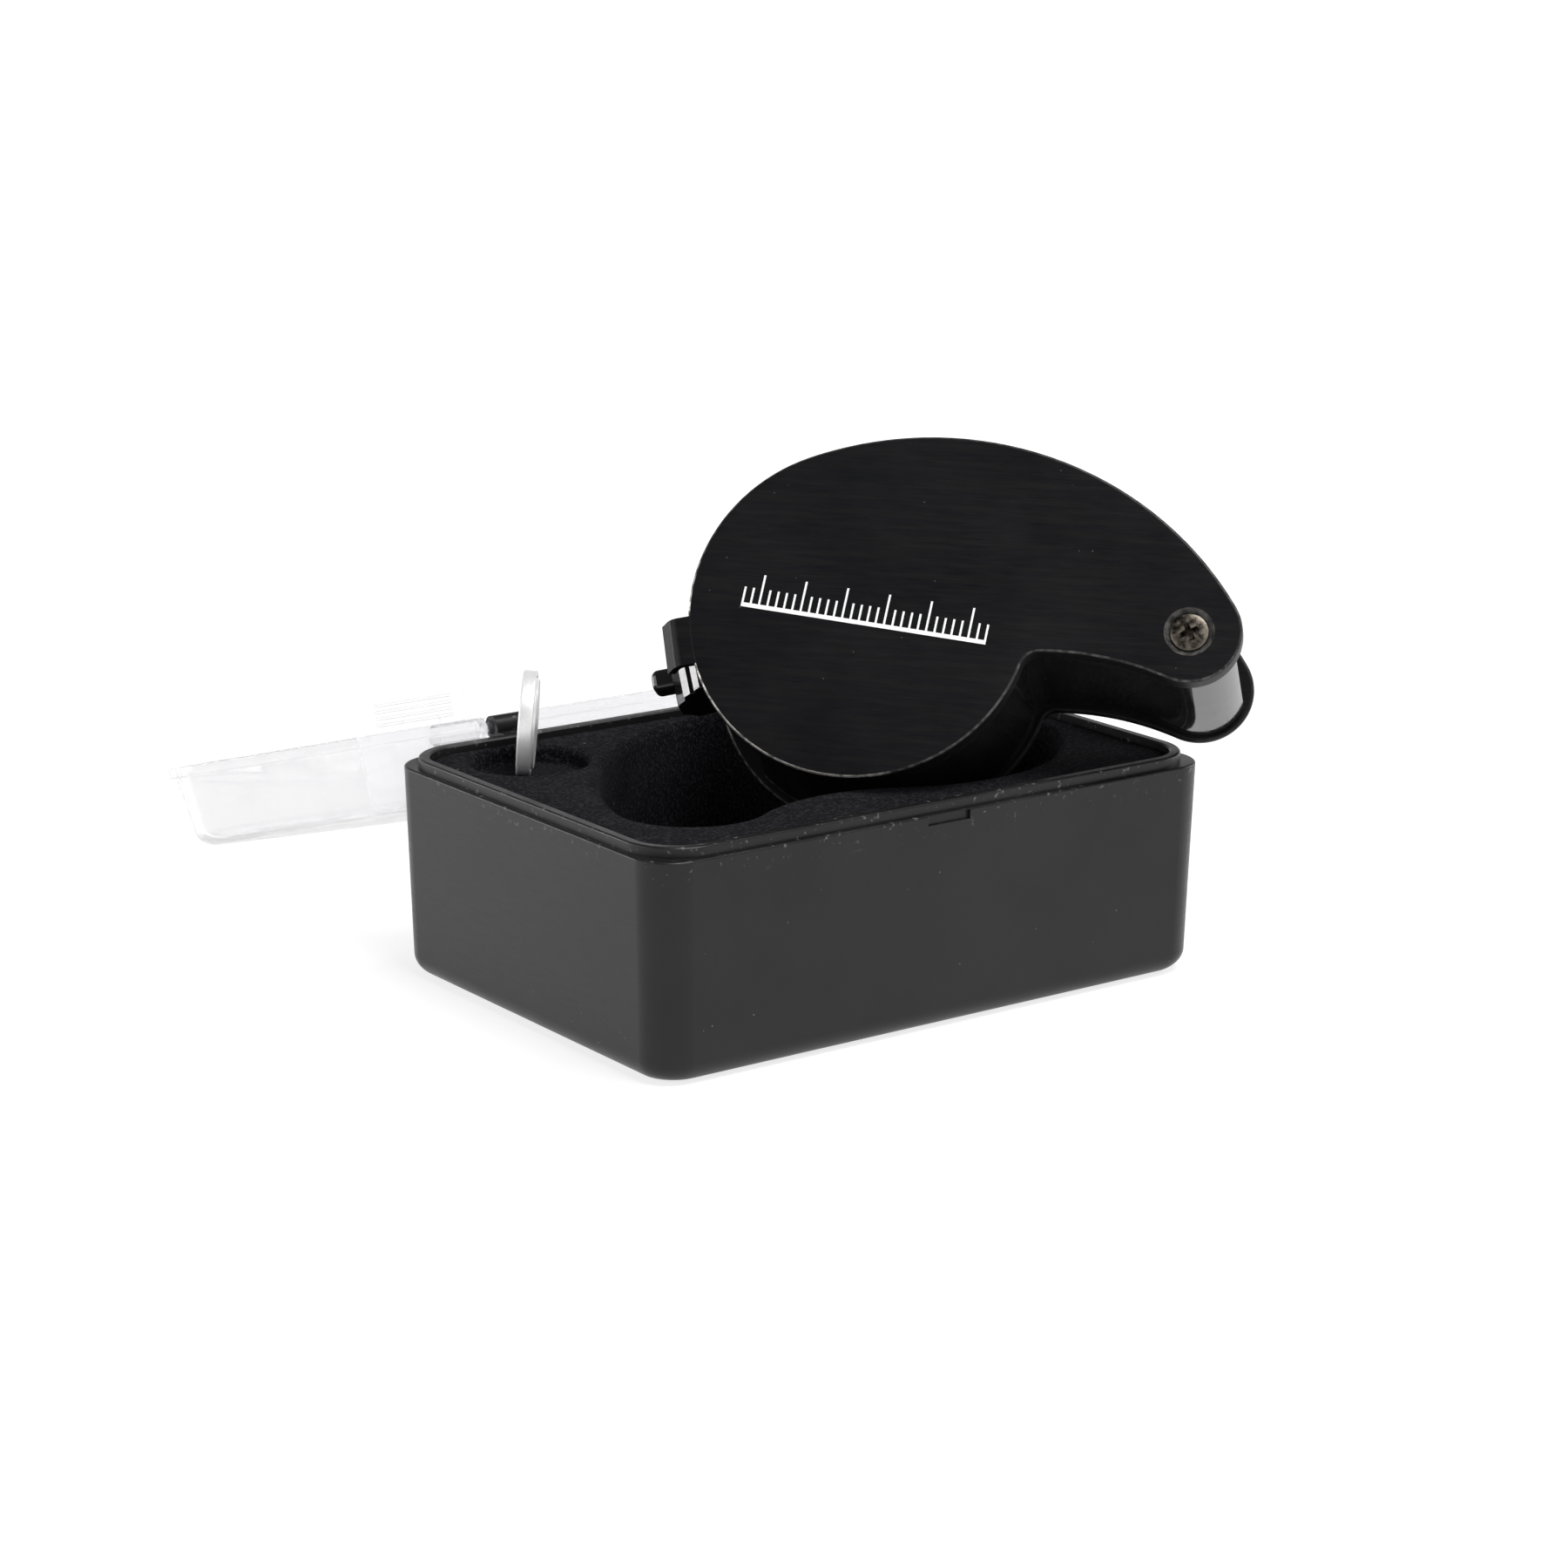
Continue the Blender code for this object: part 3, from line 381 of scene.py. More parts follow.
def underside(grow, tip, end):
    notch_side = heading(ROUND, NOTCH)
    arch_side = heading(ARCH, NOTCH)
    eye_side = heading(PIVOT, ARCH) - math.tau
    points = arc(PIVOT, EYE_RADIUS + grow, tip, eye_side, 34)
    points += arc(ARCH, ARCH_RADIUS - grow, heading(ARCH, PIVOT), arch_side, 22)[1:]
    points += arc(NOTCH, NOTCH_FILLET - grow, arch_side, notch_side - math.pi, 14)[1:]
    points += arc(ROUND, ROUND_RADIUS + grow, notch_side, end, 70)[1:]
    return points


def loupe_outline(grow):
    back_start = heading(BACK, ROUND)
    back_end = heading(BACK, PIVOT)
    points = underside(grow, back_end, back_start)
    points += arc(BACK, BACK_RADIUS + grow, back_start, back_end, 60)[1:-1]
    return points


def pocket_outline(grow):
    main = Vector(POCKET_CENTRE)
    lobe = main + Vector((math.cos(POCKET_TURN), math.sin(POCKET_TURN))) * PIVOT_REACH
    main_radius = ROUND_RADIUS + POCKET_CLEARANCE
    lobe_radius = EYE_RADIUS + POCKET_CLEARANCE
    back_radius = BACK_RADIUS + POCKET_CLEARANCE
    back = meeting_point(lobe, back_radius - lobe_radius, main, back_radius - main_radius, -1)
    reach = lobe_radius + POCKET_LAND_RADIUS
    land = meeting_point(lobe, reach, main, main_radius + POCKET_LAND_RADIUS, -1)
    points = arc(back, back_radius + grow, heading(back, main), heading(back, lobe), 60)
    points += arc(lobe, lobe_radius + grow, heading(back, lobe), heading(lobe, land), 40)[1:]
    land_radius = POCKET_LAND_RADIUS - grow
    points += arc(land, land_radius, heading(land, lobe), heading(land, main), 26)[1:]
    start = heading(main, land) - math.tau
    points += arc(main, main_radius + grow, start, heading(back, main), 90)[1:-1]
    return points


def filleted(length, width, corner, low, high, draft, fillet, steps=10):
    sections = []
    sign = 1 if high > low else -1
    for turn in quarter(steps):
        inset = fillet * (1 - math.sin(turn)) + draft
        height = low + sign * fillet * (1 - math.cos(turn))
        round_corner = max(corner - inset / 2, 0.001)
        sections.append((length - 2 * inset, width - 2 * inset, round_corner, height))
    sections.append((length, width, corner, high))
    return sections


def rounded_rim(length, width, corner, top, edge, steps=4):
    """Sections that round the upper edge of a block."""
    sections = []
    for turn in quarter(steps):
        inset = edge * (1 - math.cos(turn))
        height = top - edge + edge * math.sin(turn)
        sections.append((length - 2 * inset, width - 2 * inset, corner, height))
    return sections


def ring_profile(outer, inner, top, bottom, edge=0.00006):
    """A ring's section with small chamfers."""
    outside = [(outer - edge, top), (outer, top - edge), (outer, bottom + edge), (outer - edge, bottom)]
    inside = [(inner + edge, bottom), (inner, bottom + edge), (inner, top - edge), (inner + edge, top)]
    return outside + inside


def disc_profile(radius, top, bottom, edge=0.00008):
    rim = [(radius - edge, top), (radius, top - edge), (radius, bottom + edge), (radius - edge, bottom)]
    return [(0, top), *rim, (0, bottom)]


# ---- pieces


def piece(part, name, surface, body, node, tools=(), sharp=30):
    """Applies the part's modifiers and makes it a finished piece that rides on its body."""
    graph = bpy.context.evaluated_depsgraph_get()
    mesh = bpy.data.meshes.new_from_object(part.evaluated_get(graph))
    for item in (part, *tools):
        bpy.data.objects.remove(item, do_unlink=True)
    mesh.transform(BODY_PLACES[body])
    made = scratch(name, mesh)
    mesh.materials.clear()
    mesh.materials.append(surface)
    mesh.shade_smooth()
    mesh.set_sharp_from_angle(angle=math.radians(sharp))
    weigh = made.modifiers.new("normals", "WEIGHTED_NORMAL")
    weigh.keep_sharp = True
    weigh.weight = 60
    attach(made, body)
    if node:
        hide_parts(node)
    return made


# ---- materials


class Surface:
    """A Principled material, with its patterns laid out in the piece's own frame."""

    def __init__(self, name, colour, roughness, frame=HERE, **sockets):
        self.made = bpy.data.materials.new(name)
        self.made.use_nodes = True
        self.tree = self.made.node_tree
        self.shader = self.tree.nodes["Principled BSDF"]
        sockets |= {"Base_Color": (*colour, 1), "Roughness": roughness}
        for socket, value in sockets.items():
            self.feed(value, self.shader.inputs[socket.replace("_", " ")])
        self.place = self.node("TexCoord").outputs["Object"]
        back = frame.inverted()
        self.place = self.mapping(turn=back.to_euler(), shift=back.to_translation())

    def feed(self, value, socket):
        """Gives an input a value, or links it to another node's output."""
        if isinstance(value, bpy.types.NodeSocket):
            self.tree.links.new(value, socket)
        else:
            socket.default_value = value

    def node(self, kind, **sockets):
        made = self.tree.nodes.new("ShaderNode" + kind)
        for socket, value in sockets.items():
            self.feed(value, made.inputs[socket.replace("_", " ")])
        return made

    def mapping(self, stretch=(1, 1, 1), turn=(0, 0, 0), shift=(0, 0, 0)):
        made = self.node("Mapping", Vector=self.place, Location=shift, Scale=stretch, Rotation=turn)
        return made.outputs["Vector"]

    def noise(self, scale, detail=3, stretch=(1, 1, 1), turn=(0, 0, 0), roughness=0.55):
        place = self.mapping(stretch, turn)
        made = self.node("TexNoise", Vector=place, Scale=scale, Detail=detail, Roughness=roughness)
        return made.outputs["Fac"]

    def specks(self, scale, size, amount, stretch=(1, 1, 1), turn=(0, 0, 0)):
        """Scattered small marks: 1 in a mark, 0 elsewhere. Amount is the share of cells marked."""
        cells = self.node("TexVoronoi", Vector=self.mapping(stretch, turn), Scale=scale).outputs
        near = self.spread(cells["Distance"], size, size * 0.5, 0, 1)
        number = self.node("SeparateColor", Color=cells["Color"]).outputs["Red"]
        chosen = self.spread(number, 1 - amount, 1 - amount + 0.02, 0, 1)
        return self.maths("MULTIPLY", near, chosen)

    def maths(self, operation, first, second):
        made = self.node("Math")
        made.operation = operation
        self.feed(first, made.inputs[0])
        self.feed(second, made.inputs[1])
        return made.outputs["Value"]

    def spread(self, source, low, high, to_low, to_high):
        ends = {"From_Min": low, "From_Max": high, "To_Min": to_low, "To_Max": to_high}
        return self.node("MapRange", Value=source, **ends).outputs["Result"]

    def axes(self, source):
        """The X, Y and Z of a place or a direction."""
        return self.node("SeparateXYZ", Vector=source).outputs

    def rim(self, low, high):
        """1 where the surface turns between two tilts towards the front of the hand lens."""
        turn = self.node("Mapping", Vector=self.node("TexCoord").outputs["Normal"])
        turn.vector_type = "NORMAL"
        turn.inputs["Rotation"].default_value = LOUPE.inverted().to_euler()
        tilt = self.axes(turn.outputs["Vector"])["Z"]
        rising = self.spread(tilt, low, low + 0.1, 0, 1)
        falling = self.spread(tilt, high, high + 0.05, 1, 0)
        return self.maths("MULTIPLY", rising, falling)

    def blend(self, share, first, second):
        """A colour between two, by share. Each is a colour or another blend's output."""
        made = self.tree.nodes.new("ShaderNodeMix")
        made.data_type = "RGBA"
        self.feed(share, made.inputs["Factor"])
        colours = [socket for socket in made.inputs if socket.type == "RGBA"]
        for socket, value in zip(colours, (first, second)):
            self.feed((*value, 1) if isinstance(value, tuple) else value, socket)
        return [socket for socket in made.outputs if socket.type == "RGBA"][0]

    def tone(self, source, low, high, first, second):
        return self.blend(self.spread(source, low, high, 0, 1), first, second)

    def colour(self, source):
        self.feed(source, self.shader.inputs["Base Color"])

    def roughness(self, source, low, high, smooth, dull):
        self.feed(self.spread(source, low, high, smooth, dull), self.shader.inputs["Roughness"])

    def bump(self, *layers):
        """Each layer is (height, strength, distance)."""
        below = None
        for height, strength, distance in layers:
            made = self.node("Bump", Strength=strength, Distance=distance, Height=height)
            if below:
                self.feed(below, made.inputs["Normal"])
            below = made.outputs["Normal"]
        self.feed(below, self.shader.inputs["Normal"])


def moulded_plastic():
    look = Surface("moulded_black_plastic", (0.010, 0.010, 0.0103), 0.36, Specular_IOR_Level=0.28)
    cloud = look.noise(90, 4)
    grain = look.noise(5200, 2)
    wear = look.noise(1, 5, stretch=(260, 260, 2600))
    dust = look.specks(900, 0.12, 0.05)
    tone = look.tone(cloud, 0.3, 0.7, (0.007, 0.007, 0.0074), (0.0105, 0.0105, 0.0105))
    height = look.axes(look.place)["Z"]
    rubbed = look.spread(height, 0.0228, 0.0262, 0, 0.8)
    nicks = look.spread(look.noise(1300, 6), 0.62, 0.70, 0, 1)
    tone = look.blend(look.maths("MULTIPLY", nicks, rubbed), tone, (0.16, 0.16, 0.165))
    look.colour(look.blend(dust, tone, (0.10, 0.10, 0.10)))
    look.roughness(look.maths("ADD", cloud, wear), 0.7, 1.3, 0.30, 0.42)
    look.bump((cloud, 0.06, 0.0006), (grain, 0.10, 0.00002))
    return look.made


def flock():
    sheen = {"Sheen_Weight": 0.03, "Sheen_Roughness": 0.5, "Sheen_Tint": (0.75, 0.78, 0.9, 1)}
    look = Surface("black_flock", (0.006, 0.006, 0.008), 1.0, Specular_IOR_Level=0.04, **sheen)
    patches = look.noise(240, 4)
    nap = look.noise(2600, 3)
    fuzz = look.noise(7800, 2)
    tone = look.tone(patches, 0.35, 0.68, (0.0025, 0.0025, 0.0032), (0.006, 0.006, 0.0072))
    tone = look.tone(nap, 0.48, 0.66, tone, (0.024, 0.023, 0.027))
    lint = look.specks(420, 0.10, 0.10)
    fibre = look.specks(190, 0.05, 0.14, stretch=(1, 5, 1), turn=(0, 0, 0.7))
    tone = look.blend(lint, tone, (0.12, 0.12, 0.13))
    look.colour(look.blend(fibre, tone, (0.09, 0.09, 0.10)))
    look.bump((patches, 0.5, 0.0006), (nap, 0.9, 0.0004), (fuzz, 0.9, 0.00012))
    return look.made


def clear_plastic():
    tint = (0.84, 0.835, 0.85)
    look = Surface("clear_moulded_plastic", tint, 0.15, LID, IOR=1.3, Transmission_Weight=0.9, Alpha=0.55)
    flow = look.noise(60, 3, stretch=(1, 3, 1))
    scuff = look.noise(1, 5, stretch=(3000, 240, 240))
    look.roughness(look.maths("MULTIPLY", flow, scuff), 0.18, 0.40, 0.08, 0.22)
    look.bump((flow, 0.04, 0.0006))
    return look.made


def cell_steel(frame):
    look = Surface("bright_cell_steel", (0.72, 0.72, 0.71), 0.42, frame, Metallic=0.3)
    spun = look.noise(1, 4, stretch=(500, 500, 9000))
    cloud = look.noise(420, 4)
    stain = look.tone(cloud, 0.35, 0.7, (0.86, 0.85, 0.85), (0.70, 0.69, 0.69))
    marks = look.specks(900, 0.14, 0.12)
    look.colour(look.blend(marks, stain, (0.40, 0.39, 0.38)))
    look.roughness(look.maths("ADD", spun, cloud), 0.7, 1.3, 0.24, 0.46)
    look.bump((spun, 0.18, 0.00003), (cloud, 0.08, 0.0001))
    return look.made


def brushed_cover():
    look = Surface("brushed_black_sheet", (0.006, 0.006, 0.006), 0.36, LOUPE, Specular_IOR_Level=0.12)
    brush = look.noise(1, 6, stretch=(260, 9000, 9000), turn=(0, 0, math.radians(8)), roughness=0.7)
    streak = look.noise(1, 4, stretch=(60, 1500, 1500), turn=(0, 0, math.radians(8)))
    cloud = look.noise(70, 3)
    tone = look.tone(brush, 0.35, 0.7, (0.0030, 0.0032, 0.0040), (0.0072, 0.0072, 0.0082))
    tone = look.blend(look.spread(streak, 0.45, 0.8, 0, 0.6), tone, (0.012, 0.0112, 0.0108))
    dust = look.specks(1300, 0.11, 0.035)
    tone = look.blend(dust, tone, (0.11, 0.11, 0.11))
    # A light, metallic band along the rounded front edges. It is patchy, strongest towards the lower left,
    # kept off the lug and faint further back.
    edge_band_patches = look.spread(look.noise(900, 4), 0.40, 0.62, 0.15, 1)
    light_edge_band = look.maths("MULTIPLY", look.rim(0.30, 0.90), edge_band_patches)
    place = look.axes(look.place)
    lower = look.spread(look.maths("ADD", place["X"], place["Y"]), -0.012, -0.020, 0.10, 1)
    light_edge_band = look.maths("MULTIPLY", light_edge_band, lower)
    across = look.maths("MULTIPLY", place["X"], math.cos(LUG_TURN))
    along = look.maths("MULTIPLY", place["Y"], math.sin(LUG_TURN))
    reach = look.maths("ADD", across, along)
    plate_only = look.spread(reach, ROUND_RADIUS + 0.0001, ROUND_RADIUS + 0.0003, 1, 0)
    front_only = look.spread(place["Z"], -0.006, -0.004, 0.2, 1)
    light_edge_band = look.maths("MULTIPLY", light_edge_band, look.maths("MULTIPLY", plate_only, front_only))
    look.colour(look.blend(light_edge_band, tone, (0.75, 0.72, 0.67)))
    look.feed(light_edge_band, look.shader.inputs["Metallic"])
    look.roughness(look.maths("ADD", brush, cloud), 0.75, 1.25, 0.30, 0.48)
    look.bump((brush, 0.16, 0.000025), (cloud, 0.05, 0.0005))
    return look.made


def glossy_black():
    look = Surface("glossy_black_plastic", (0.009, 0.009, 0.0095), 0.10, LOUPE, Specular_IOR_Level=0.5)
    cloud = look.noise(150, 3)
    scratch_a = look.noise(1, 3, stretch=(7000, 160, 160), turn=(0, 0, 0.5))
    scratch_b = look.noise(1, 3, stretch=(160, 6000, 160), turn=(0.3, 0, 0.2))
    rub = look.maths("MULTIPLY", scratch_a, scratch_b)
    tone = look.tone(cloud, 0.3, 0.7, (0.007, 0.007, 0.0075), (0.012, 0.012, 0.0125))
    dust = look.specks(1100, 0.10, 0.05)
    look.colour(look.blend(dust, tone, (0.12, 0.12, 0.12)))
    look.roughness(rub, 0.2, 0.45, 0.07, 0.22)
    look.bump((cloud, 0.08, 0.0004), (rub, 0.05, 0.00003))
    return look.made


def turned_black():
    look = Surface("turned_black_anodising", (0.02, 0.02, 0.021), 0.35, LOUPE, Metallic=0.6)
    lines = look.noise(1, 3, stretch=(900, 900, 14000))
    tone = look.tone(lines, 0.3, 0.7, (0.014, 0.014, 0.015), (0.04, 0.04, 0.042))
    look.colour(tone)
    look.roughness(lines, 0.3, 0.7, 0.25, 0.45)
    look.bump((lines, 0.25, 0.00004))
    return look.made


def matt_black():
    look = Surface("matt_black_spacer", (0.01, 0.01, 0.01), 0.7, Specular_IOR_Level=0.3)
    grain = look.noise(3800, 3)
    tone = look.blend(grain, (0.007, 0.007, 0.007), (0.018, 0.018, 0.018))
    look.colour(tone)
    look.roughness(grain, 0.3, 0.7, 0.6, 0.85)
    look.bump((grain, 0.3, 0.00004))
    return look.made


def optical_glass():
    look = Surface("coated_glass", (0.985, 0.99, 0.995), 0.01, IOR=1.52, Transmission_Weight=1.0)
    look.shader.inputs["Specular Tint"].default_value = (0.72, 0.70, 1.0, 1)
    smear = look.noise(190, 4)
    look.roughness(smear, 0.45, 0.75, 0.0, 0.035)
    look.bump((smear, 0.01, 0.0002))
    return look.made


def lamp_resin():
    look = Surface("lamp_resin", (0.93, 0.90, 0.72), 0.06, IOR=1.50, Transmission_Weight=0.75)
    cloud = look.noise(1500, 3)
    look.colour(look.blend(cloud, (0.96, 0.94, 0.80), (0.90, 0.82, 0.50)))
    look.roughness(cloud, 0.3, 0.7, 0.03, 0.16)
    return look.made


def worn_screw():
    look = Surface("blackened_screw_steel", (0.10, 0.086, 0.07), 0.34, LOUPE, Metallic=1.0)
    cloud = look.noise(1500, 4)
    fine = look.noise(7000, 2)
    tone = look.tone(cloud, 0.35, 0.65, (0.045, 0.038, 0.031), (0.16, 0.14, 0.115))
    look.colour(tone)
    look.roughness(cloud, 0.3, 0.7, 0.26, 0.5)
    look.bump((cloud, 0.2, 0.00005), (fine, 0.2, 0.00002))
    return look.made


def bare_steel():
    look = Surface("turned_steel", (0.6, 0.6, 0.61), 0.28, LOUPE, Metallic=1.0)
    lines = look.noise(1, 3, stretch=(700, 700, 12000))
    look.colour(look.blend(lines, (0.50, 0.50, 0.51), (0.70, 0.70, 0.71)))
    look.roughness(lines, 0.3, 0.7, 0.2, 0.38)
    look.bump((lines, 0.2, 0.00003))
    return look.made


def spring_brass():
    look = Surface("spring_brass", (0.74, 0.57, 0.29), 0.3, LOUPE, Metallic=1.0)
    cloud = look.noise(700, 4)
    rolled = look.noise(1, 3, stretch=(300, 8000, 300))
    look.colour(look.blend(cloud, (0.66, 0.48, 0.22), (0.82, 0.66, 0.36)))
    look.roughness(rolled, 0.3, 0.7, 0.22, 0.42)
    look.bump((rolled, 0.15, 0.00003))
    return look.made


def nylon():
    look = Surface("natural_nylon", (0.74, 0.73, 0.69), 0.5, Subsurface_Weight=0.1)
    cloud = look.noise(900, 3)
    look.colour(look.blend(cloud, (0.68, 0.67, 0.62), (0.80, 0.79, 0.75)))
    look.roughness(cloud, 0.3, 0.7, 0.42, 0.6)
    look.bump((cloud, 0.1, 0.00005))
    return look.made


def white_print():
    look = Surface("white_pad_print", (0.86, 0.86, 0.85), 0.45)
    fine = look.noise(6500, 3)
    look.colour(look.tone(fine, 0.35, 0.6, (0.74, 0.74, 0.74), (0.93, 0.93, 0.92)))
    look.roughness(fine, 0.3, 0.7, 0.35, 0.55)
    look.bump((fine, 0.1, 0.00001))
    return look.made


# ---- case


def make_case(plastic):
    edge = MOULDED_EDGE
    outside = (CASE_LENGTH, CASE_WIDTH, CASE_CORNER)
    sections = filleted(*outside, 0, LEDGE_HEIGHT - edge, CASE_DRAFT, CASE_FILLET)
    sections += rounded_rim(*outside, LEDGE_HEIGHT, edge)[1:]
    lip_length = CASE_LENGTH - 2 * LEDGE_WIDTH
    lip_width = CASE_WIDTH - 2 * LEDGE_WIDTH
    lip_top = LEDGE_HEIGHT + LIP_HEIGHT
    lip = (lip_length, lip_width, LIP_CORNER)
    sections.append((*lip, LEDGE_HEIGHT))
    sections += rounded_rim(*lip, lip_top, edge)
    base = tray("case", sections)

    inner = (lip_length - 2 * LIP_WALL, lip_width - 2 * LIP_WALL, LIP_CORNER - LIP_WALL)
    rim = 0.0002
    flare = (inner[0] + 2 * rim, inner[1] + 2 * rim, inner[2] + rim)
    hollow_sections = [(*inner, FLOOR), (*inner, lip_top - rim), (*flare, lip_top), (*flare, lip_top + 0.001)]
    hollow = tray("hollow", hollow_sections)
    half = CATCH_WIDTH / 2 + 0.0002
    front = -CASE_WIDTH / 2
    low, high = CATCH_NOTCH
    notch = block("notch", (-half, front - 0.001, low), (half, front + 0.0004, high))
    cut(base, hollow, notch)
    tools = [hollow, notch]
    near, far = BASE_KNUCKLE
    web_start = CASE_WIDTH / 2 - 0.0010
    for side in (-1, 1):
        low, high = sorted((side * near, side * far))
        barrel = cross_cylinder("barrel", KNUCKLE_RADIUS, low, high, HINGE_Y, HINGE_Z)
        web = block("web", (low, web_start, WEB_FOOT), (high, HINGE_Y, HINGE_Z - WEB_STEP))
        join(base, web, barrel)
        radius = HINGE_PIN_RADIUS + RUNNING_GAP
        hole = cross_cylinder("hole", radius, low - 0.001, high + 0.001, HINGE_Y, HINGE_Z)
        cut(base, hole)
        tools += [barrel, web, hole]
    piece(base, "moulded_case", plastic, "case", "case_base", tools, sharp=34)


def make_insert(surface):
    length = CASE_LENGTH - 2 * (LEDGE_WIDTH + LIP_WALL + FIT_GAP)
    width = CASE_WIDTH - 2 * (LEDGE_WIDTH + LIP_WALL + FIT_GAP)
    corner = LIP_CORNER - LIP_WALL - FIT_GAP
    sections = [(length, width, corner, FLOOR + FIT_GAP)]
    sections += rounded_rim(length, width, corner, INSERT_TOP, 0.0005, 5)
    insert = tray("insert", sections)

    rings = []
    for turn in quarter(5):
        inset = POCKET_FILLET * (1 - math.sin(turn))
        rings.append((-inset, POCKET_FLOOR + POCKET_FILLET * (1 - math.cos(turn))))
    for turn in quarter(6):
        out = POCKET_FLARE * (1 - math.cos(turn))
        rings.append((out, INSERT_TOP - POCKET_FLARE + POCKET_FLARE * math.sin(turn)))
    rings.append((POCKET_FLARE, INSERT_TOP + 0.001))
    pocket = loft("pocket", [[(x, y, z) for x, y in pocket_outline(g)] for g, z in rings])

    flare = 0.0009
    profile = [(0, INSERT_TOP + 0.001), (CELL_RECESS_RADIUS + flare, INSERT_TOP + 0.001)]
    for turn in reversed(quarter(5)):
        radius = CELL_RECESS_RADIUS + flare * (1 - math.cos(turn))
        profile.append((radius, INSERT_TOP - flare + flare * math.sin(turn)))
    floor = INSERT_TOP - CELL_RECESS_DEPTH
    profile += [(CELL_RECESS_RADIUS, floor + 0.0004), (CELL_RECESS_RADIUS - 0.0004, floor), (0, floor)]
    recess = turned("recess", profile, place=CELL_RECESS)
    cut(insert, pocket, recess)
    tools = [pocket, recess]
    made = piece(insert, "flocked_insert", surface, "case", "case_insert", tools, sharp=50)


def tab_outline(half, low, high):
    corner = 0.0018
    points = [(half, high), (-half, high)]
    points += arc((-half + corner, low + corner), corner, math.pi, 1.5 * math.pi, 10)
    points += arc((half - corner, low + corner), corner, 1.5 * math.pi, 2 * math.pi, 10)
    return points


def make_lid(surface):
    rim = LEDGE_HEIGHT + 0.0001
    top = LEDGE_HEIGHT + LID_HEIGHT
    shoulder = rim + LID_RIM_HEIGHT
    sections = filleted(LID_LENGTH, LID_WIDTH, CASE_CORNER, top, shoulder, LID_DRAFT, LID_FILLET)
    edge = 0.0002
    flange = (LID_RIM_LENGTH, LID_RIM_WIDTH, CASE_CORNER + 0.0007)
    inner_flange = (LID_RIM_LENGTH - 2 * edge, LID_RIM_WIDTH - 2 * edge, CASE_CORNER + 0.0005)
    sections += [(*inner_flange, shoulder), (*flange, shoulder - edge)]
    sections += [(*flange, rim + edge), (*inner_flange, rim)]
    lid = tray("lid", sections)
    inner = (LID_LENGTH - 2 * LID_WALL, LID_WIDTH - 2 * LID_WALL, CASE_CORNER - LID_WALL + 0.0010)
    inside = filleted(*inner, top - LID_TOP, rim - 0.001, LID_DRAFT, LID_FILLET - LID_WALL)
    hollow = tray("lid_hollow", inside)
    tools = [hollow]
    near, far = BASE_KNUCKLE
    back = CASE_WIDTH / 2 - 0.0012
    for side in (-1, 1):
        low, high = sorted((side * (near - 0.0006), side * (far + 0.0006)))
        tools.append(block("relief", (low, back, rim - 0.001), (high, HINGE_Y, HINGE_Z + 0.0022)))
    cut(lid, *tools)

    near, far = LID_KNUCKLE
    pin_end = BASE_KNUCKLE[0] + 0.0006
    rim_back = LID_RIM_WIDTH / 2 - 0.0004
    for side in (-1, 1):
        low, high = sorted((side * near, side * far))
        barrel = cross_cylinder("lid_barrel", KNUCKLE_RADIUS, low, high, HINGE_Y, HINGE_Z)
        web = block("lid_web", (low, rim_back, rim + 0.0004), (high, HINGE_Y, HINGE_Z + 0.0009))
        start, end = sorted((side * pin_end, side * (near + 0.001)))
        pin = cross_cylinder("lid_pin", HINGE_PIN_RADIUS, start, end, HINGE_Y, HINGE_Z)
        join(lid, web, barrel, pin)
        tools += [barrel, web, pin]

    tab_back = -LID_RIM_WIDTH / 2 + 0.0003
    tab_foot = rim - TAB_REACH
    half = TAB_WIDTH / 2
    tab = plate("tab", tab_outline(half, tab_foot, rim + 0.0010), 0, TAB_THICKNESS)
    tab.data.transform(Matrix.Translation((0, tab_back, 0)) @ Matrix.Rotation(math.pi / 2, 4, "X"))
    bead_half = CATCH_WIDTH / 2
    low, high = CATCH_BEAD
    root = tab_back - 0.0006
    bead = block("bead", (-bead_half, root, low), (bead_half, -CASE_WIDTH / 2 + 0.0001, high))
    web = block("bead_web", (-bead_half, root, low - 0.0011), (bead_half, tab_back + 0.0004, high))
    join(lid, tab, web, bead)
    tools += [tab, bead, web]
    for i in range(4):
        height = tab_foot + 0.0011 + 0.0009 * i
        rib = cross_cylinder("rib", 0.0002, 0.002 - half, half - 0.002, tab_back - TAB_THICKNESS, height, 16)
        join(lid, rib)
        tools.append(rib)
    for item in (lid, *tools):
        item.data.transform(TO_HINGE)
    piece(lid, "clear_lid_shell", surface, "lid", "case_lid", tools, sharp=34)


def cell_profile(top):
    cap = CELL_RADIUS - 0.0009
    bottom = top - CELL_THICKNESS
    shoulder = top - 0.0003
    edge = 0.0003
    profile = [(0, top), (cap - 0.00012, top), (cap, top - 0.00012), (cap + 0.0001, shoulder - 0.00012)]
    profile += [(cap + 0.00035, shoulder - 0.00012), (cap + 0.0004, shoulder)]
    for turn in reversed(quarter(4)):
        x = CELL_RADIUS - 0.00015 + 0.00015 * math.cos(turn)
        profile.append((x, shoulder - 0.00015 + 0.00015 * math.sin(turn)))
    for turn in quarter(5):
        x = CELL_RADIUS - edge + edge * math.cos(turn)
        profile.append((x, bottom + edge - edge * math.sin(turn)))
    profile += [(0.0040, bottom), (0.0039, bottom + 0.00006), (0, bottom + 0.00006)]
    return profile


def make_spare_cell(steel):
    cell = turned("cell", cell_profile(CELL_THICKNESS / 2), 160)
    piece(cell, "standing_coin_cell", steel, "spare_cell", "spare_cell", sharp=40)


# ---- hand lens


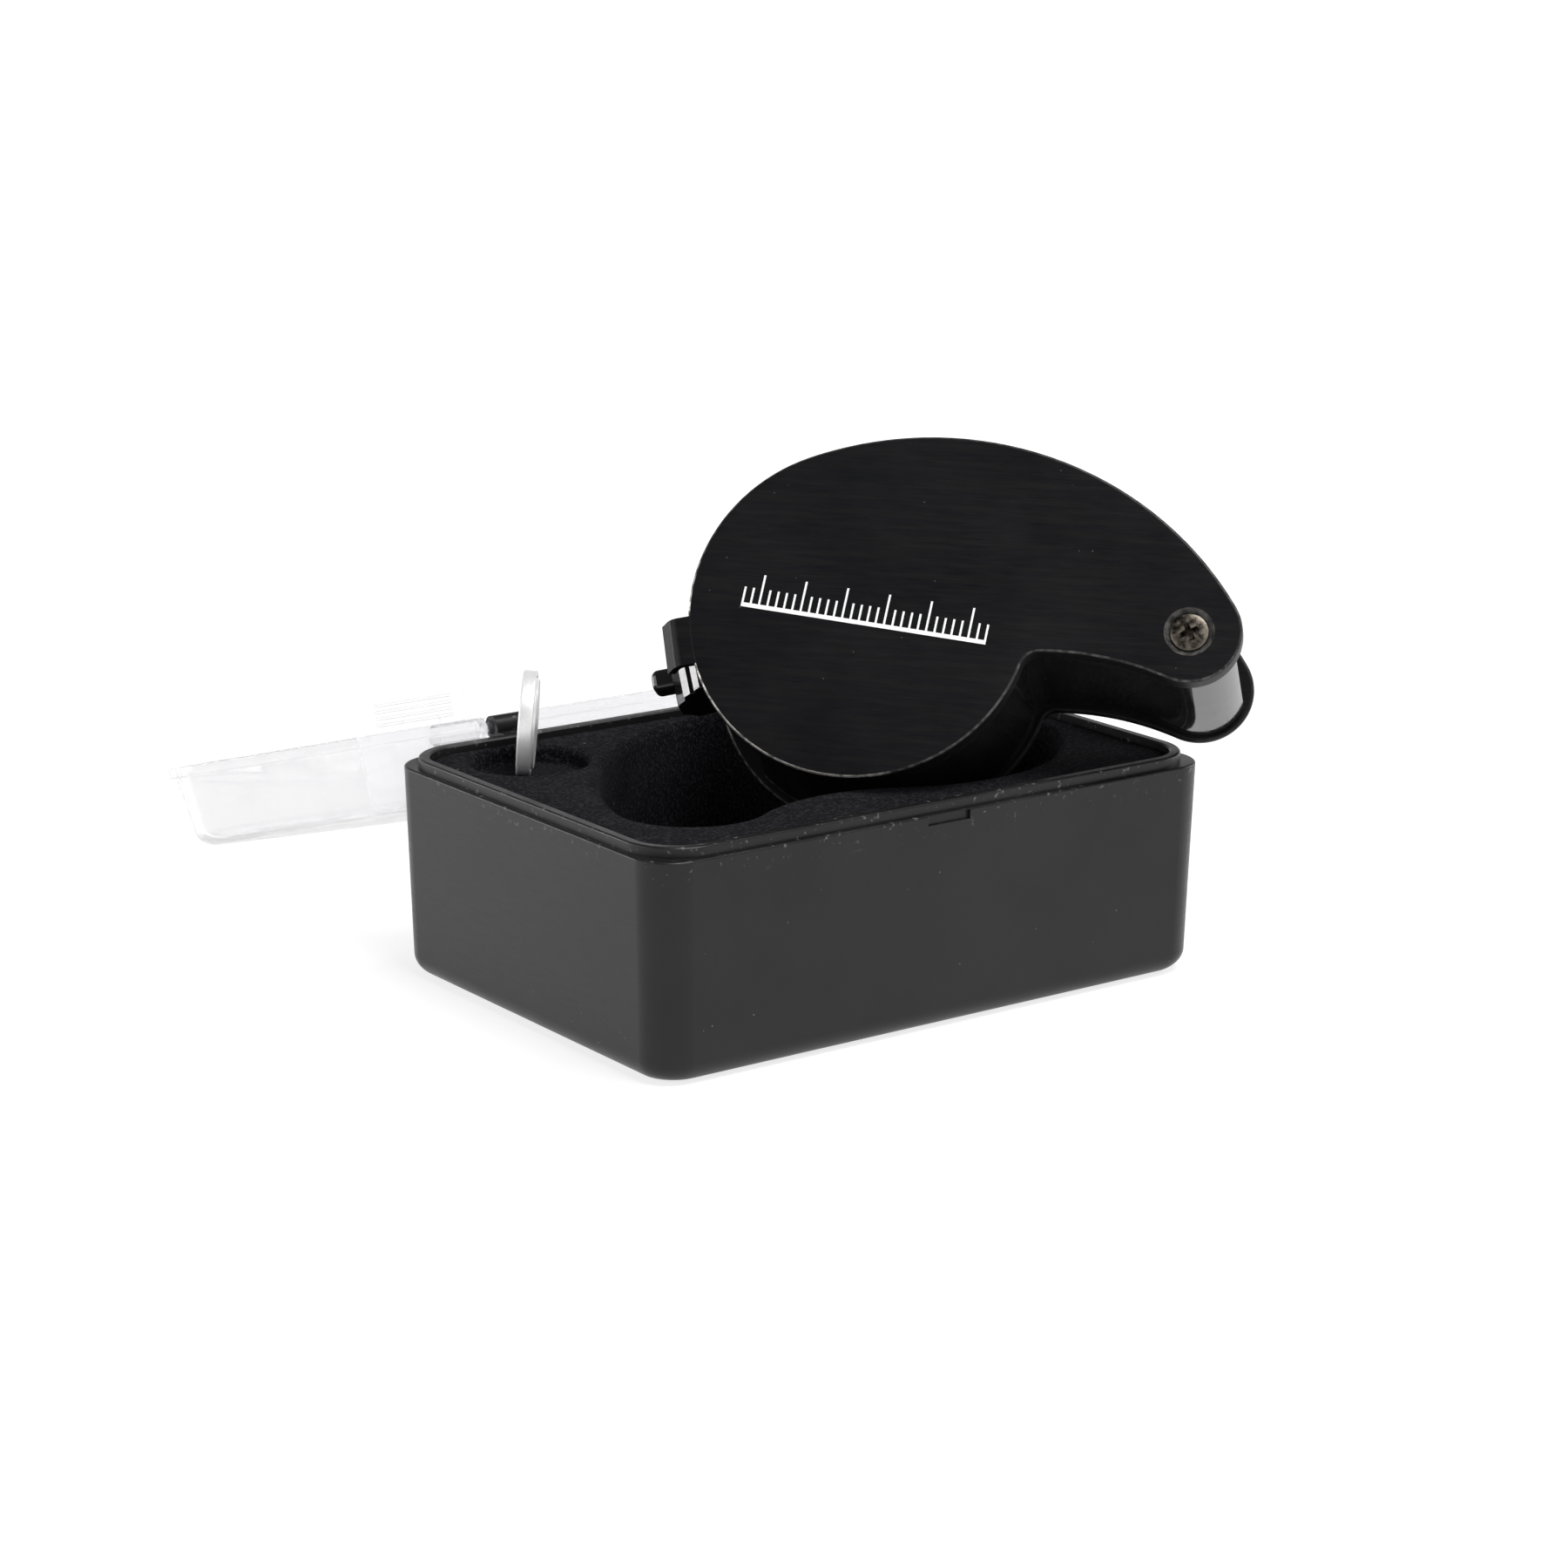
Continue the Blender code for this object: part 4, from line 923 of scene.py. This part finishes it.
def make_front_cover(surface):
    cover = plate("cover", loupe_outline(0), -SKIRT_DEPTH, 0, edge=COVER_EDGE)
    inner = loupe_outline(-COVER_THICKNESS)
    hollow = plate("cover_hollow", inner, -SKIRT_DEPTH - 0.001, -COVER_THICKNESS)
    lug = make_lug()
    dish = cylinder("dish", 0.0015, -0.0012, 0.0001, PIVOT, end_radius=0.0030)
    cut(cover, hollow)
    join(cover, lug)
    cut(cover, dish)
    tools = [hollow, lug, dish]
    piece(cover, "brushed_front_cover", surface, "loupe", "front_cover", tools, sharp=40)


def make_lug():
    root = ROUND_RADIUS - 0.0006
    centre = (ROUND_RADIUS + 0.0010, -LUG_BEND - LUG_DROP)
    bend_end = math.pi / 2 - LUG_SLOPE
    outside = arc(centre, LUG_BEND, math.pi / 2, bend_end, 16)
    inside = arc(centre, LUG_BEND - LUG_SHEET, math.pi / 2, bend_end, 16)
    outer = [(root, -LUG_DROP), *outside]
    inner = [(root, -LUG_SHEET - LUG_DROP), *inside]
    step = Vector((math.cos(LUG_SLOPE), -math.sin(LUG_SLOPE))) * LUG_RUN
    outer.append(tuple(Vector(outer[-1]) + step))
    inner.append(tuple(Vector(inner[-1]) + step))
    lug = plate("lug", outer + inner[::-1], -LUG_WIDTH / 2, LUG_WIDTH / 2)
    stand = Matrix.Rotation(math.pi / 2, 4, "X")
    lug.data.transform(Matrix.Rotation(LUG_TURN, 4, "Z") @ stand)
    return lug


def make_rear_cover(surface):
    outline = loupe_outline(REAR_COVER_GROWTH)
    cover = plate("rear", outline, -THICKNESS, -REAR_COVER_FRONT, edge=COVER_EDGE)
    hole = cylinder("nut_hole", 0.0023, -THICKNESS - 0.001, -REAR_COVER_FRONT + 0.001, PIVOT)
    cut(cover, hole)
    piece(cover, "brushed_rear_cover", surface, "loupe", "rear_cover", [hole], sharp=40)


def make_spine(surface):
    far_end = SPINE_END - SPINE_END_SLANT
    outer = underside(-SPINE_INSET, SPINE_TIP, far_end)
    inner = underside(-SPINE_INSET - SPINE_WALL, SPINE_TIP, far_end)
    front = -SKIRT_DEPTH - FIT_GAP
    back = -REAR_COVER_FRONT + FIT_GAP
    spine = plate("spine", outer + inner[::-1], back, front)
    wedge = block("spine_trim", (-0.006, 0, -0.016), (0.006, 0.020, 0.016))
    lean = Matrix.Rotation(-SPINE_END_SLANT, 4, "X")
    turn = Matrix.Rotation(SPINE_END - math.pi, 4, "Z") @ Matrix.Rotation(math.pi, 4, "Z")
    reach = Matrix.Translation((ROUND_RADIUS, 0, 0))
    middle = Matrix.Translation((0, 0, (front + back) / 2))
    wedge.data.transform(middle @ turn @ reach @ Matrix.Rotation(math.pi, 4, "X") @ lean)
    cut(spine, wedge)
    piece(spine, "glossy_spine", surface, "loupe", "spine_wall", [wedge], sharp=40)


def make_pivot(screw_steel, steel, plastic):
    place = tuple(PIVOT)
    sleeve_bottom = -SLEEVE_END
    profile = ring_profile(SLEEVE_RADIUS, SLEEVE_BORE, -COVER_THICKNESS - FIT_GAP, sleeve_bottom)
    sleeve = turned("sleeve", profile, 96, place)
    piece(sleeve, "turned_pivot_sleeve", steel, "loupe", "pivot_sleeve")
    washer_bottom = -HOLDER_FRONT + FIT_GAP
    front = (washer_bottom + FRONT_WASHER_THICKNESS, washer_bottom)
    rear = (-HOLDER_BACK - FIT_GAP, sleeve_bottom)
    for side, (top, bottom) in (("front", front), ("rear", rear)):
        washer = turned("washer", ring_profile(WASHER_RADIUS, WASHER_BORE, top, bottom), 96, place)
        piece(washer, f"nylon_{side}_washer", plastic, "loupe", f"{side}_washer")

    flange_top = sleeve_bottom - FIT_GAP
    flange_bottom = -REAR_COVER_FRONT + FIT_GAP
    nut_bottom = -THICKNESS + 0.0001
    chamfer = 0.00015
    section = [(NUT_FLANGE_RADIUS, flange_top), (NUT_FLANGE_RADIUS, flange_bottom)]
    section += [(NUT_RADIUS, flange_bottom), (NUT_RADIUS, nut_bottom + chamfer)]
    section += [(NUT_RADIUS - chamfer, nut_bottom), (NUT_BORE + chamfer, nut_bottom)]
    section += [(NUT_BORE, nut_bottom + chamfer), (NUT_BORE, flange_top)]
    nut = turned("nut", section, 96, place)
    slot = block("nut_slot", (-0.003, -0.0003, nut_bottom - 0.001), (0.003, 0.0003, nut_bottom + 0.0005))
    slot.data.transform(Matrix.Translation((*place, 0)))
    cut(nut, slot)
    piece(nut, "slotted_pivot_nut", screw_steel, "loupe", "pivot_nut", [slot])

    end = nut_bottom + 0.0003
    section = [(0, -0.00010), (0.0008, -0.00011), (0.0012, -0.00013), (0.0017, -0.00017), (0.0020, -0.00022)]
    section += [(0.00215, -0.00028), (0.0022, -0.00035), (0.0012, -0.00135), (0.0010, -0.00150)]
    section += [(0.0010, end), (0, end)]
    screw = turned("screw", section, 96, place)
    arms = []
    for turn in (math.radians(28), math.radians(118)):
        arm = block("recess_arm", (-0.00125, -0.00034, -0.0010), (0.00125, 0.00034, 0.0002))
        for vertex in arm.data.vertices:
            if vertex.co.z < -0.0005:
                vertex.co.x *= 0.45
                vertex.co.y *= 0.7
        arm.data.transform(Matrix.Translation((*place, 0)) @ Matrix.Rotation(turn, 4, "Z"))
        arms.append(arm)
    core = cylinder("recess_core", 0.00025, -0.0010, 0.0002, place, end_radius=0.00062, steps=32)
    tools = [*arms, core]
    cut(screw, *tools)
    piece(screw, "cross_head_screw", screw_steel, "loupe", "pivot_screw", tools)


def make_grip():
    """The stepped thumb grip, drawn as (reach, depth) and run along the round part's edge."""
    steps = [(0.0170, -0.0056), (0.0205, -0.0056), (0.0213, -0.0064), (0.0213, -0.0070)]
    steps += [(0.0219, -0.0070), (0.0228, -0.0079), (0.0228, -0.0088), (0.0240, -0.0104)]
    steps += [(0.0240, -0.0134), (0.0222, -0.0156), (0.0170, -0.0156)]
    grip = plate("grip", steps, -GRIP_HALF_WIDTH, GRIP_HALF_WIDTH, 0.0001, 3)
    stand = Matrix.Rotation(math.pi / 2, 4, "X")
    grip.data.transform(Matrix.Rotation(GRIP_TURN, 4, "Z") @ stand)
    return grip


def nub_outline():
    half = NUB_HALF_WIDTH
    corner = NUB_CORNER
    points = [(0.0170, half), (0.0170, -half)]
    points += arc((NUB_RADIUS - corner, -half + corner), corner, -math.pi / 2, 0, 12)
    points += arc((NUB_RADIUS - corner, half - corner), corner, 0, math.pi / 2, 12)
    return points


def make_holder(surface):
    front, back = -HOLDER_FRONT, -HOLDER_BACK
    holder = plate("holder", loupe_outline(-HOLDER_INSET), back, front, edge=COVER_EDGE)
    front_depth, back_depth = NUB_DEPTHS
    nub = plate("nub", nub_outline(), -back_depth, -front_depth, 0.0008, 6)
    nub.data.transform(Matrix.Rotation(NUB_TURN, 4, "Z"))
    grip = make_grip()
    join(holder, grip, nub)
    start, end = back - 0.001, front + 0.001
    bore = cylinder("bore", BARREL_OUTER + FIT_GAP, start, end)
    eye = cylinder("eye", SLEEVE_RADIUS + RUNNING_GAP, start, end, PIVOT)
    bay = cylinder("bay", CELL_DOOR_RADIUS + FIT_GAP, start, back + CELL_BAY_DEPTH, CELL_PLACE)
    hole = cylinder("lamp_hole", 0.00185, start, back + 0.0062, LAMP_PLACE)
    seat = cylinder("bezel_seat", 0.0027, start, back + 0.0012, LAMP_PLACE)
    tools = [bore, eye, bay, hole, seat]
    cut(holder, *tools)
    tools += [grip, nub]
    piece(holder, "glossy_lens_holder", surface, "lens", "lens_holder", tools, sharp=40)


def lens_profile(edge_front, dome_sign):
    dome_edge = LENS_RADIUS - 0.0015
    sphere = (dome_edge**2 + LENS_DOME**2) / (2 * LENS_DOME)
    edge_back = edge_front - LENS_FLAT
    sag = []
    for i in range(25):
        radius = dome_edge * (1 - i / 24)
        sag.append((radius, LENS_DOME - sphere + math.sqrt(sphere**2 - radius**2)))
    if dome_sign < 0:
        dome = [(radius, edge_back - height) for radius, height in sag]
        return [(0, edge_front), (LENS_RADIUS, edge_front), (LENS_RADIUS, edge_back), *dome]
    dome = [(radius, edge_front + height) for radius, height in reversed(sag)]
    return [*dome, (LENS_RADIUS, edge_front), (LENS_RADIUS, edge_back), (0, edge_back)]


def make_optics(glass, metal, plastic):
    top = -HOLDER_FRONT - 0.0003
    bottom = -HOLDER_BACK + 0.0006
    ring_top = top - 0.0003
    eye_front = ring_top - RING_HEIGHT - FIT_GAP
    ring_bottom = bottom + 0.0003
    field_front = ring_bottom + RING_HEIGHT + FIT_GAP + LENS_FLAT
    spacer_top = eye_front - LENS_FLAT - FIT_GAP
    barrel = (BARREL_OUTER, BARREL_INNER, top, bottom)
    front_ring = (LENS_RADIUS, RING_INNER, ring_top, ring_top - RING_HEIGHT)
    rear_ring = (LENS_RADIUS, RING_INNER, ring_bottom + RING_HEIGHT, ring_bottom)
    spacer = (LENS_RADIUS, SPACER_INNER, spacer_top, field_front + FIT_GAP)
    for name, surface, slot, node, sizes in (
        ("turned_lens_barrel", metal, "barrel_black", "lens_barrel", barrel),
        ("turned_front_ring", metal, "barrel_black", "front_retaining_ring", front_ring),
        ("turned_rear_ring", metal, "barrel_black", "rear_retaining_ring", rear_ring),
        ("matt_lens_spacer", plastic, "spacer_black", "lens_spacer", spacer),
    ):
        piece(turned("ring", ring_profile(*sizes), 128), name, surface, "lens", node)
    for node, front, side in (("eye_lens", eye_front, -1), ("field_lens", field_front, 1)):
        lens = turned("lens", lens_profile(front, side), 128)
        piece(lens, f"ground_{node}", glass, "lens", node, sharp=25)


def make_lamp(resin, steel, brass, cell_steel_surface, dark):
    back = -HOLDER_BACK
    base = back + 0.0050
    shoulder = back + 0.0019
    dome = [(LAMP_RADIUS * math.cos(a), shoulder - LAMP_RADIUS * math.sin(a)) for a in quarter(12)[:-1]]
    profile = [(0, base), (LAMP_RADIUS, base), *dome, (0, shoulder - LAMP_RADIUS)]
    bulb = turned("bulb", profile, 64, LAMP_PLACE)
    piece(bulb, "domed_lamp", resin, "lens", "led_lamp")
    profile = ring_profile(BEZEL_RADIUS, BEZEL_BORE, back + 0.0009, back + 0.0001)
    bezel = turned("bezel", profile, 64, LAMP_PLACE)
    piece(bezel, "turned_lamp_bezel", steel, "lens", "led_bezel")
    top = back + CELL_BAY_DEPTH - FIT_GAP
    profile = disc_profile(NEGATIVE_CONTACT_RADIUS, top, top - CONTACT_THICKNESS)
    disc = turned("disc", profile, 96, CELL_PLACE)
    piece(disc, "sprung_negative_contact", brass, "lens", "negative_contact")
    cell_top = top - CONTACT_THICKNESS - FIT_GAP
    cell = turned("cell", cell_profile(cell_top), 128, CELL_PLACE)
    piece(cell, "fitted_coin_cell", cell_steel_surface, "lens", "working_cell")
    contact = cell_top - CELL_THICKNESS - FIT_GAP
    profile = disc_profile(POSITIVE_CONTACT_RADIUS, contact, contact - CONTACT_THICKNESS)
    disc = turned("disc", profile, 96, CELL_PLACE)
    piece(disc, "sprung_positive_contact", brass, "lens", "positive_contact")
    door_top = contact - CONTACT_THICKNESS - FIT_GAP
    door = turned("door", disc_profile(CELL_DOOR_RADIUS, door_top, back + 0.0001), 128, CELL_PLACE)
    slot = block("door_slot", (-0.0042, -0.0005, back - 0.001), (0.0042, 0.0005, back + 0.0006))
    slot.data.transform(Matrix.Translation((*CELL_PLACE, 0)))
    cut(door, slot)
    piece(door, "slotted_battery_door", dark, "lens", "battery_door", [slot])
    low = -HOLDER_FRONT + 0.0002
    near, far = PIVOT_REACH - 0.0045, PIVOT_REACH - 0.0100
    outline = [(near, 0.0030), (near, 0.0052), (far, 0.0052), (far, 0.0030)]
    leaf = plate("leaf", outline, low, low + CONTACT_THICKNESS, 0.0001, 2)
    piece(leaf, "sprung_switch_leaf", brass, "lens", "switch_leaf")


def make_rule(paint):
    """A plain printed rule: a baseline with a tick each millimetre, longer each fifth."""
    length = 0.029
    tilt = math.radians(-5.4)
    centre = (0.0008, 0.0001)
    paint_height = 0.00003
    shape = bmesh.new()
    bars = [((-length / 2, -0.0019), (length / 2, -0.0014))]
    for i in range(30):
        reach = 0.0036 if i % 5 == 2 else 0.0019
        x = -length / 2 + 0.00012 + (length - 0.00024) * i / 29
        bars.append(((x - 0.00012, -0.0014), (x + 0.00012, -0.0014 + reach)))
    for low, high in bars:
        corners = [(low[0], low[1]), (high[0], low[1]), (high[0], high[1]), (low[0], high[1])]
        under = [shape.verts.new((x, y, 0.000005)) for x, y in corners]
        over = [shape.verts.new((x, y, paint_height)) for x, y in corners]
        shape.faces.new(over)
        shape.faces.new(under[::-1])
        for a in range(4):
            b = (a + 1) % 4
            shape.faces.new((under[a], under[b], over[b], over[a]))
    rule = from_bmesh("rule", shape)
    rule.data.transform(Matrix.Translation((*centre, 0)) @ Matrix.Rotation(tilt, 4, "Z"))
    piece(rule, "printed_rule", paint, "loupe", None)


# ---- studio


def aim(item, target):
    item.rotation_euler = (Vector(target) - item.location).to_track_quat("-Z", "Y").to_euler()


def area_light(name, place, target, size, power):
    light = bpy.data.lights.new(name, "AREA")
    light.shape = "RECTANGLE"
    light.size, light.size_y = size
    light.energy = power
    made = scratch(name, light)
    made.location = place
    aim(made, target)


def make_studio():
    shape = bmesh.new()
    bmesh.ops.create_grid(shape, x_segments=1, y_segments=1, size=6.0)
    floor = from_bmesh("studio_floor", shape)
    floor.location.z = -0.00005
    look = Surface("pale_floor", (0.3, 0.3, 0.3), 0.8, Specular_IOR_Level=0.1, Emission_Color=(1, 1, 1, 1))
    paper = look.noise(700, 3)
    look.colour(look.blend(paper, (0.297, 0.297, 0.297), (0.303, 0.303, 0.303)))
    reach = look.node("VectorMath")
    reach.operation = "LENGTH"
    look.feed(look.place, reach.inputs[0])
    glow = look.spread(reach.outputs["Value"], 0.12, 0.70, 0.77, 1.02)
    look.feed(glow, look.shader.inputs["Emission Strength"])
    floor.data.materials.append(look.made)

    world = bpy.data.worlds.new("soft_studio")
    bpy.context.scene.world = world
    world.use_nodes = True
    tree = world.node_tree
    backing = tree.nodes["Background"]
    place = tree.nodes.new("ShaderNodeTexCoord")
    split = tree.nodes.new("ShaderNodeSeparateXYZ")
    ramp = tree.nodes.new("ShaderNodeValToRGB")
    tree.links.new(place.outputs["Generated"], split.inputs["Vector"])
    tree.links.new(split.outputs["Z"], ramp.inputs["Fac"])
    tree.links.new(ramp.outputs["Color"], backing.inputs["Color"])
    for stop, height, grey in zip(ramp.color_ramp.elements, (0.12, 0.55), (1, 0.08)):
        stop.position = height
        stop.color = (grey, grey, grey, 1)
    backing.inputs["Strength"].default_value = 1.0

    area_light("overhead", (0.15, -0.35, 1.1), (0, 0, 0), (0.7, 0.5), 14)
    area_light("left_side", (-1.0, 0.25, 0.45), (0, 0, 0.02), (0.6, 0.5), 2.7)
    area_light("front_fill", (-0.10, -1.0, 0.75), (-0.02, 0, 0.03), (0.3, 0.4), 1.6)
    area_light("back_edge", (-0.295, 0.36, 0.062), (-0.01, 0, 0.045), (0.12, 0.11), 0.42)
    area_light("right_side", (0.9, -0.15, 0.35), (0.02, 0, 0.03), (0.4, 0.5), 3)


def make_camera():
    lens = bpy.data.cameras.new("view")
    lens.lens = 87.73
    lens.sensor_width = 36.0
    lens.shift_x = 0.0322
    lens.shift_y = 0.0433
    lens.clip_start = 0.01
    camera = scratch("view", lens)
    azimuth = math.radians(-35.367)
    elevation = math.radians(15.656)
    distance = 0.44113
    target = Vector((-0.013539, -0.005391, 0.017955))
    level = Vector((math.sin(azimuth), -math.cos(azimuth), 0)) * math.cos(elevation)
    camera.location = target + (level + Vector((0, 0, math.sin(elevation)))) * distance
    aim(camera, target)
    bpy.context.scene.camera = camera


def main():
    bpy.context.scene.view_settings.view_transform = "Standard"
    plastic = moulded_plastic()
    cover = brushed_cover()
    gloss = glossy_black()
    metal = turned_black()
    steel = bare_steel()
    brass = spring_brass()
    screw = worn_screw()
    white = nylon()
    make_case(plastic)
    make_insert(flock())
    make_lid(clear_plastic())
    make_spare_cell(cell_steel(SPARE_CELL))
    make_front_cover(cover)
    make_rear_cover(cover)
    make_spine(gloss)
    make_pivot(screw, steel, white)
    make_holder(gloss)
    make_optics(optical_glass(), metal, matt_black())
    make_lamp(lamp_resin(), steel, brass, cell_steel(LOUPE @ Matrix.Translation((*CELL_PLACE, 0))), gloss)
    make_rule(white_print())
    make_studio()
    make_camera()


main()
